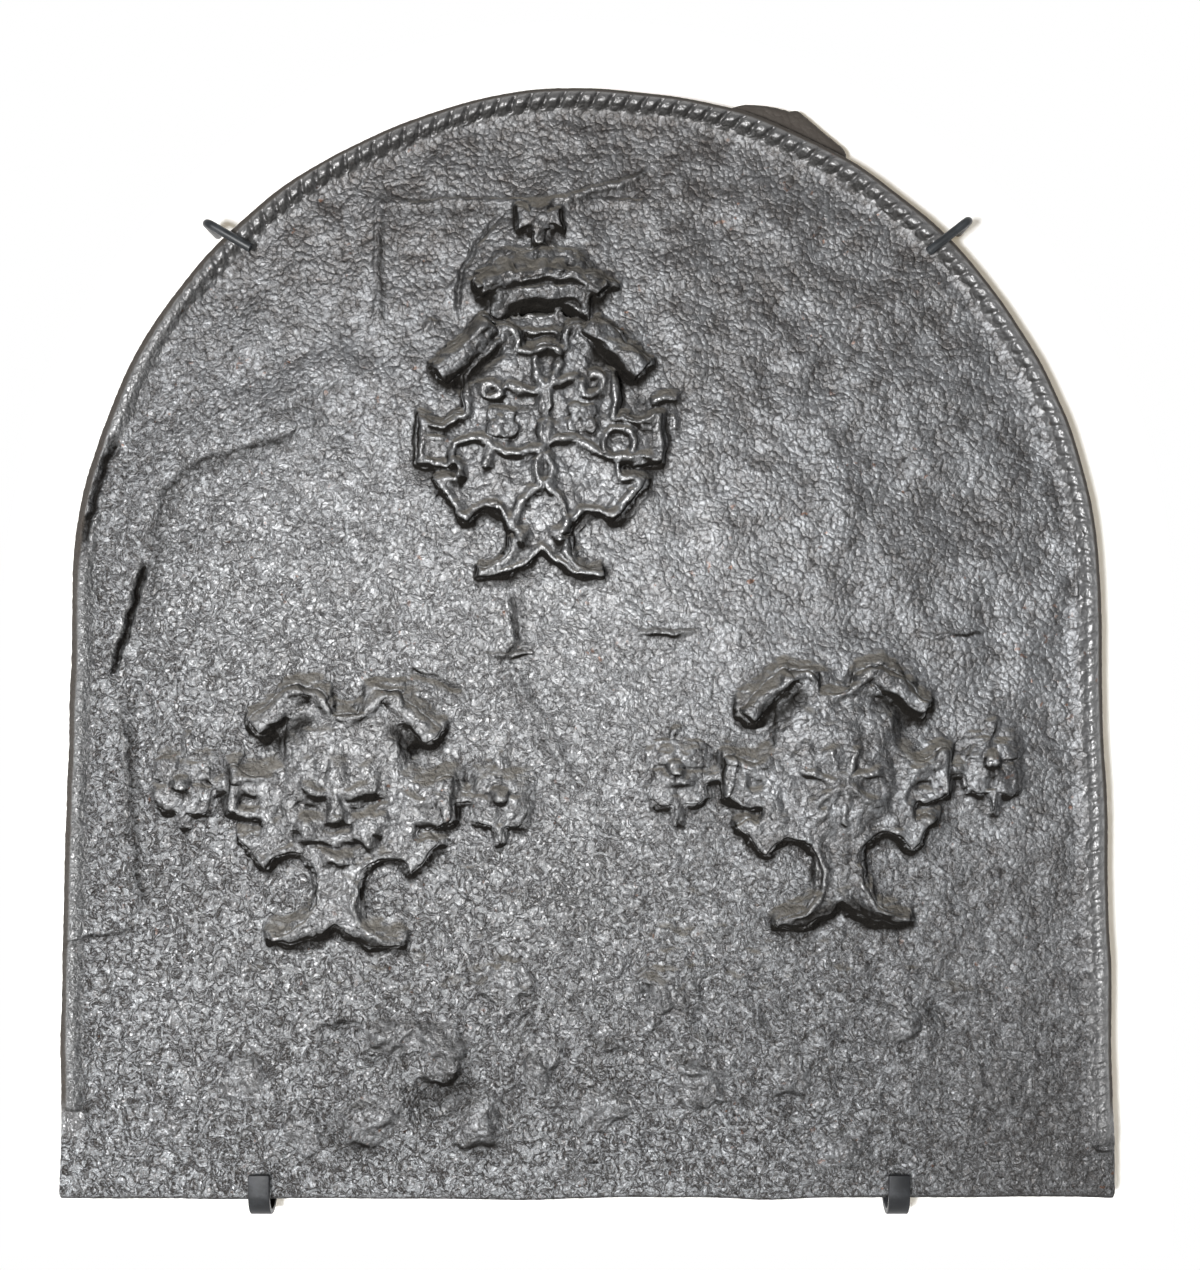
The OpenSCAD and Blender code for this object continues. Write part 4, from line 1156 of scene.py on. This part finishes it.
def carve(whole):
    points = pointsOf(whole)
    x, z = platePlaces(points)
    height = plate["faceY"] - points[:, 1] / mm
    lift = np.zeros(len(x))
    for shield, (bold, edge, deep, full) in shieldForms.items():
        reach = sample(edgeReach(shield), x, z)
        inner = np.minimum(reach / 1.5, 1)
        lift += bold * inner + edge * np.exp(-((reach - 3.4) / 2.2) ** 2) * inner
        lift += full * smooth(reach / 26) - deep * smooth((reach - 4) / 4.5)
    # The crown is fullest at the line of pearls and falls away above and below it.
    cap = sample(edgeReach("crown_cap", 2), x, z) > 0
    band = sample(edgeReach("crown_band", 2), x, z) > 0
    form = crownForm
    pearls = form["pearlsZ"] - form["pearlsBend"] * (x - form["pearlsX"]) ** 2
    lift += np.where(cap, form["capOut"] - form["capFall"] * smooth((z - pearls) / form["capRun"]), 0)
    onBand = band & ~cap
    fall = np.clip((pearls - z - 4) / form["bandRun"], 0, 1)
    lift += np.where(onBand, form["bandOut"] - form["bandFall"] * fall, 0)
    lift += form["crossOut"] * (sample(edgeReach("crown_cross", 2), x, z) > 0)
    foot = form["footZ"] - form["footBend"] * (x - form["footX"]) ** 2
    lift -= np.where(onBand, form["footCut"] * smooth((foot - z) / 2.5), 0)
    handX, handZ = wander(x, z)
    for strokes in (crownStrokes, maskStrokes, starStrokes, fieldStrokes):
        for width, depth, path in strokes.values():
            lift -= depth * alongPath(handX, handZ, path, width)
    lift += cord["height"] * cordWeight(x, z) ** 0.6
    for lump in crownLumps + starLumps:
        lift += dome(handX, handZ, lump)
    for lump in fieldLumps:
        lift += mound(handX, handZ, lump)
    for lump in maskLumps:
        lift += maskBoldness * dome(handX, handZ, lump)
    for flower in flowers:
        near = np.hypot(x - flower[0], z - flower[1]) < 2 * flower[2]
        lift += petals(x, z, flower) + np.where(near, 2.2 * smooth((height - 1) / 3), 0) * (flower[2] > 15)
    # Hair round the mask
    middleX, middleZ = hair["middle"]
    around = np.degrees(np.arctan2(z - middleZ, x - middleX))
    out = np.hypot(x - middleX, z - middleZ)
    locks = np.cos(np.radians(around * hair["locks"] + out * hair["bend"]))
    locks = locks * smooth((out - hair["from"]) / 5) * smooth((hair["to"] - out) / 7)
    lift += hair["height"] * locks * smooth((np.abs(around - 90) - 28) / 20)
    lift *= smooth((height + 6) / 3)
    raised = height + lift
    ramp = slopeLevels(x, z, raised)
    lift = np.where((ramp > raised) & (height > -6), ramp, raised) - height
    # The rope: a plain roll along the rim, grooved on its inner half and running off into the field
    inside = insideRim(x, z)
    crisp = ropeCrispness(x, z)
    half = np.where(inside < rope["crest"], rope["rimHalf"], rope["fieldHalf"])
    ridge = rope["height"] * np.exp(-(np.abs(inside - rope["crest"]) / half) ** rope["fullness"])
    foot = rope["foot"] * smooth((26 - inside) / 10)
    grooved = ridge + foot - rope["groove"] * crisp * ropeGrooves(x, z, inside)
    end = np.where(x < 0, rope["leftEnd"], rope["rightEnd"])
    onRun = smooth((z - end) / 10) * smooth((27 - inside) / 4)
    onRun = onRun * smooth((inside + 0.5) / 2) * smooth((height + 4) / 2)
    lift = lift * (1 - onRun) + (grooved - height) * onRun
    liftPoints(whole, lift)
    # Painted shade close under what stands proud, and over the crown's band
    soot = shadeUnderRelief(x, z, height + lift)
    soot = np.maximum(soot, np.where(onBand, 0.3, 0))
    paint(whole, "soot", soot)
    print("fireback: shields carved")


def shapeGate(whole):
    # The stump of the gate is broken off along one long straight edge and a short one.
    points = pointsOf(whole)
    x, z = platePlaces(points)
    over = z - plate["sideH"]
    angle = np.degrees(np.arctan2(over, x))
    out = np.hypot(x, over) - plate["archR"]
    near = (out > 0.3) & (angle > gate["from"]) & (angle < gate["to"]) & (z > 700)
    count = (gate["to"] - gate["from"]) * gate["steps"]
    bins = np.linspace(gate["from"], gate["to"], count + 1)
    slot = np.clip(((angle - gate["from"]) * gate["steps"]).astype(int), 0, count)
    had = np.zeros(count + 1)
    np.maximum.at(had, slot[near], out[near])
    had = np.interp(angle, bins, np.maximum(had, 1))
    wanted = np.interp(angle, *zip(*gate["reach"]))
    move = np.where(near, out * (np.clip(wanted, 1, 30) / np.maximum(had, 3) - 1), 0)
    move = np.clip(move, -12, 12)
    for axis, share in (("X", x), ("Z", over)):
        shiftPoints(whole, axis, move * share / np.maximum(np.hypot(x, over), 1))


def wearAndMark(whole):
    points = pointsOf(whole)
    x, z = platePlaces(points)
    inside = insideRim(x, z)
    height = plate["faceY"] - points[:, 1] / mm
    onRope = smooth((20 - inside) / 3)
    crisp = ropeCrispness(x, z) * smooth((inside - 5) / 4)
    worn = onRope * (1 - 0.3 * crisp)
    soften(whole, rounds["rope"], worn)
    onRelief = smooth((height + 1) / 2) * (1 - onRope)
    soften(whole, casting["reliefFillet"], onRelief)
    soften(whole, rounds["lowShields"], onRelief * (z < 430) * (z > 150))
    carve(whole)
    soften(whole, rounds["carving"], onRelief)
    points = pointsOf(whole)
    x, z = platePlaces(points)
    side = np.zeros(len(x))
    for middleX, middleZ, halfX, halfZ in softSpots:
        side = np.maximum(side, smooth(1.4 - np.hypot((x - middleX) / halfX, (z - middleZ) / halfZ)))
    soften(whole, rounds["sides"], side)
    shapeGate(whole)
    # A carver's hand: uneven faces and outlines
    uneven = clouds("uneven", casting["unevenSize"])
    points = pointsOf(whole)
    height = plate["faceY"] - points[:, 1] / mm
    onRelief = smooth((height - 0.5) / 2.5) * (1 - onRope)
    rough(whole, uneven, casting["uneven"], "Y", onRelief)
    drift(whole, "hand", 1 - onRope)
    # Marks and ledges, and then how deep each point lies in a hollow
    points = pointsOf(whole)
    x, z = platePlaces(points)
    height = plate["faceY"] - points[:, 1] / mm
    onFace = smooth((height + 3) / 3)
    handX, handZ = wander(x, z)
    lift = np.zeros(len(x))
    for width, depth, path in marks.values():
        lift -= depth * alongPath(handX, handZ, path, width)
    for high, near, far, path in ledges:
        lift += ledge(handX, handZ, high, near, far, path) * (1 - onRope)
    liftPoints(whole, lift * onFace)
    points = pointsOf(whole)
    soft = whole.copy()
    soft.data = whole.data.copy()
    bpy.context.scene.collection.objects.link(soft)
    soften(soft, rounds["hollows"])
    hollow = (points[:, 1] - pointsOf(soft)[:, 1]) / mm
    bpy.data.objects.remove(soft)
    # Painted shade: under what stands proud, along the shade strokes and deep in each hollow, all kept in the
    # hollow layer
    soot = readAll(whole.data.attributes["soot"].data, "value")
    for width, dark, path in shadeStrokes.values():
        soot = np.maximum(soot, dark * alongPath(handX, handZ, path, width))
    low = smooth((175 - z) / 30) * (1 - onRope)
    deep = (0.8 - 0.3 * low) * smooth((hollow - 0.45 - 0.5 * low) / 1.4)
    paint(whole, "hollow", np.maximum(deep, soot))
    # The crests, which the finish paints paler as a highlight
    paint(whole, "crest", smooth((-0.35 - hollow) / 1.3) * (1 - onRope))
    zone = np.full(len(x), 0.15)
    for (left, right, foot, top), width in slopes:
        out = np.maximum(np.maximum(left - x, x - right), np.maximum(foot - z, z - top))
        zone = np.maximum(zone, smooth((12 - out) / 24))
    paint(whole, "dust", zone)
    whole.data.attributes.remove(whole.data.attributes["soot"])
    inside = insideRim(x, z)
    rimWidth = 5.2 + 3 * smooth((0 - ropeTurn(x, z) - 25) / 40)
    paint(whole, "rim", smooth((rimWidth - inside) / 2.5) * smooth((z - 60) / 20))
    gash = alongPath(handX, handZ, shadeStrokes["ropeGash"][2], 9.0)
    paint(whole, "rope", smooth((20 - inside) / 5) * smooth((z - 40) / 20) * (1 - gash))
    # Slow waves everywhere, hills low in the middle, and a wander in the edges
    wave = clouds("wave", casting["waveSize"])
    rough(whole, wave, -casting["wave"], "Y", onFace * smooth((inside - 6) / 30))
    hilly = np.exp(-((x - 10) / 290) ** 2 - ((z - 120) / 120) ** 2) * onFace * smooth(z / 40)
    hills = clouds("hills", casting["hillSize"], noise_type="HARD_NOISE")
    rough(whole, hills, casting["hill"], "Y", hilly, mid=0.35)
    drift(whole, "sway")
    # Pebbled skin: fine to the upper right, coarse and scaly to the lower left
    coarse = smooth((0.62 * (-x + 120) + 0.9 * (560 - z)) / 560)
    onRelief = smooth((height - 2) / 3) * (1 - onRope)
    onFace = onFace * (1 - 0.5 * onRelief)
    paint(whole, "coarse", coarse * (1 - 0.6 * onRelief))
    skin = clouds("skin", casting["skinSize"])
    rough(whole, skin, casting["skin"], "NORMAL", (1 - 0.4 * onRelief) * (0.7 + 0.3 * coarse))
    domeSize = casting["domeSize"] * mm
    domes = pattern("domes", "VORONOI", noise_scale=domeSize, distance_metric="DISTANCE", noise_intensity=1.0)
    rough(whole, domes, -casting["dome"], "NORMAL", onFace * (0.32 + 0.68 * coarse) * (1 - 0.5 * onRope))
    scales = clouds("scales", casting["scaleSize"], 2, noise_type="HARD_NOISE")
    rough(whole, scales, -casting["scale"], "NORMAL", coarse * onFace * (1 - 0.7 * onRope))
    print("fireback: casting worn and marked")


# How the casting is cut, in plate millimetres: the rim that goes with the rope, and the field's six parts
cuts = {
    "rimWidth": 9,
    "leftRopeFoot": 68,
    "rightRopeFoot": 38,
    "cordWeight": 0.12,
    "splitX": (-115, 150),
    "splitZ": 330,
}


def regionIds(whole, names):
    # Each face belongs to the piece that stands foremost where it lies.
    corners, polygons, owner = [], [], []
    for index, name in enumerate(names):
        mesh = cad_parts[name].data
        start = len(corners)
        corners += [v.co.copy() for v in mesh.vertices]
        for polygon in mesh.polygons:
            polygons.append([start + i for i in polygon.vertices])
            owner.append(index + 1)
    tree = BVHTree.FromPolygons(corners, polygons)
    centres = centresOf(whole)
    x, z = platePlaces(centres)
    inside = insideRim(x, z)
    ids = np.zeros(len(centres), np.int32)
    ahead = Vector((0, 1, 0))
    for i in np.flatnonzero((centres[:, 1] < (plate["faceY"] + 6) * mm)):
        hit = tree.ray_cast(Vector((centres[i, 0], -0.08, centres[i, 2])), ahead)
        if hit[2] is not None:
            ids[i] = owner[hit[2]]
    # The cord is where it was carved.
    shield, knot = names.index("crown_shield") + 1, names.index("cord_knot") + 1
    ids[ids == knot] = shield
    ids[(ids == shield) & (cordWeight(x, z) > cuts["cordWeight"])] = knot
    # The rim outside the rope goes with the rope.
    rim = (inside < cuts["rimWidth"]) & (ids == 0)
    left, arch, right = (names.index(n) + 1 for n in ropeNodes)
    below = z < plate["sideH"]
    ids[rim & ~below] = arch
    ids[rim & below & (z > cuts["leftRopeFoot"]) & (x < 0)] = left
    ids[rim & below & (z > cuts["rightRopeFoot"]) & (x > 0)] = right
    angle = np.degrees(np.arctan2(z - plate["sideH"], x))
    ids[(inside < -1.2) & (angle > gate["from"]) & (angle < gate["to"])] = names.index("gate_stub") + 1
    # Each piece takes the fillet round it.
    loops = readAll(whole.data.loops, "vertex_index", kind=np.int32)
    if len(loops) == 4 * len(ids):
        quads = loops.reshape(-1, 4)
        for step in range(3):
            atPoint = np.zeros(len(whole.data.vertices), np.int32)
            for corner in range(4):
                np.maximum.at(atPoint, quads[:, corner], ids)
            grown = atPoint[quads].max(axis=1)
            ids = np.where(ids == 0, grown, ids)
    # What is left is the plain field, in six parts.
    column = np.where(x < cuts["splitX"][0], 0, np.where(x < cuts["splitX"][1], 1, 2))
    row = np.where(z > cuts["splitZ"], 0, 1)
    field = ids == 0
    ids[field] = (len(names) + 1 + column + 3 * row)[field]
    return ids


fieldNames = [
    "plate_upper_left", "plate_upper_middle", "plate_upper_right",
    "plate_lower_left", "plate_lower_middle", "plate_lower_right",
]


def keepNormals(whole):
    normals = readAll(whole.data.vertex_normals, "vector", 3)
    layer = whole.data.attributes.new("seam", "FLOAT_VECTOR", "POINT")
    layer.data.foreach_set("vector", normals.ravel())


def closePiece(piece):
    # Carries the open edges back to the join, and closes the back.
    joinY = casting["joinY"] * mm
    faces = len(piece.data.polygons)
    editOn(piece, "EDGE")
    bpy.ops.mesh.select_non_manifold(
        extend=False, use_wire=False, use_boundary=True,
        use_multi_face=False, use_non_contiguous=False, use_verts=False,
    )
    bpy.ops.mesh.extrude_edges_move()
    bpy.ops.transform.resize(value=(1, 0, 1), center_override=(0, joinY, 0))
    bpy.ops.mesh.fill(use_beauty=False)
    editOff()
    seam = readAll(piece.data.attributes["seam"].data, "vector", 3)
    loops = readAll(piece.data.loops, "vertex_index", kind=np.int32)
    totals = readAll(piece.data.polygons, "loop_total", kind=np.int32)
    normals = seam[loops]
    normals[totals[:faces].sum():] = 0
    piece.data.polygons.foreach_set("use_smooth", np.ones(len(totals), bool))
    piece.data.normals_split_custom_set(normals.tolist())
    piece.data.attributes.remove(piece.data.attributes["seam"])


def cutCasting(whole):
    names = reliefNodes + fieldNames
    ids = regionIds(whole, reliefNodes)
    keepNormals(whole)
    whole.data.materials.clear()
    for name in ["spare"] + names:
        whole.data.materials.append(bpy.data.materials.new("region." + name))
    whole.data.polygons.foreach_set("material_index", ids)
    editOn(whole, "FACE")
    bpy.ops.mesh.select_all(action="SELECT")
    bpy.ops.mesh.separate(type="MATERIAL")
    editOff()
    pieces = {}
    for piece in list(bpy.context.selected_objects):
        used = piece.data.materials[piece.data.polygons[0].material_index].name.split(".")[1]
        pieces[used] = piece
    print("fireback: casting cut into", len(pieces), "pieces")
    for name, piece in sorted(pieces.items()):
        closePiece(piece)
        piece.name = name + "_cast" if name in reliefNodes else name
        piece.data.name = piece.name
        piece.data.materials.clear()
        piece.data.materials.append(iron)
        piece.data.polygons.foreach_set("material_index", np.zeros(len(piece.data.polygons), np.int32))
        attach(piece, "plate")
        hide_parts(name if name in reliefNodes else "plate_slab")
        "iron" if name in reliefNodes[:6] or name in fieldNames else "worn_iron"
    for material in list(bpy.data.materials):
        if material.name.startswith("region."):
            bpy.data.materials.remove(material)


# The plate's back: the size of its cells, and its low lumps
rear = {"cell": 3.2, "lumps": 2.2, "lumpSize": 30}


def makeBack():
    back = copyNode("plate_slab", "plate_back")
    editOn(back)
    bpy.ops.mesh.select_all(action="SELECT")
    join = (0, casting["joinY"] * mm, 0)
    bpy.ops.mesh.bisect(plane_co=join, plane_no=(0, -1, 0), use_fill=True, clear_outer=True)
    editOff()
    modify(back, "REMESH", mode="VOXEL", voxel_size=rear["cell"] * mm, use_smooth_shade=True)
    soften(back, 2)
    points = pointsOf(back)
    onRear = smooth((points[:, 1] - (plate["backY"] - 1.5) * mm) / (1.0 * mm))
    rough(back, clouds("lumps", rear["lumpSize"], 3), -rear["lumps"], "Y", onRear, mid=0.0)
    drift(back, "sway")
    for layer in layers:
        paint(back, layer, np.zeros(len(back.data.vertices)))
    back.data.materials.append(iron)
    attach(back, "plate")
    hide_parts("plate_slab")


whole = castWhole()
wearAndMark(whole)
cutCasting(whole)
makeBack()


# Fixings: the hooks' and sleeves' edges are eased, as forged bar and shrunk tube are

def easeEdges(node, width, angle, finish, body):
    piece = copyNode(node, node + "_eased")
    limit = {"limit_method": "ANGLE", "angle_limit": math.radians(angle)}
    modify(piece, "BEVEL", width=width * mm, segments=3, **limit)
    pick(piece)
    bpy.ops.object.shade_smooth_by_angle(angle=math.radians(50))
    piece.data.materials.append(finish)
    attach(piece, body)
    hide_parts(node)


for side in ("left", "right"):
    easeEdges("hook_" + side, 0.7, 40, blackSteel, "wall_fixings")
    easeEdges("clip_sleeve_" + side, 0.5, 40, sleeveBlack, "clip_" + side)
for name in ("hook_screws", "clip_rod_left", "clip_rod_right"):
    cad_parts[name].data.materials.clear()
    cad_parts[name].data.materials.append(zinc)
print("fireback: fixings made")

print("fireback: finished")
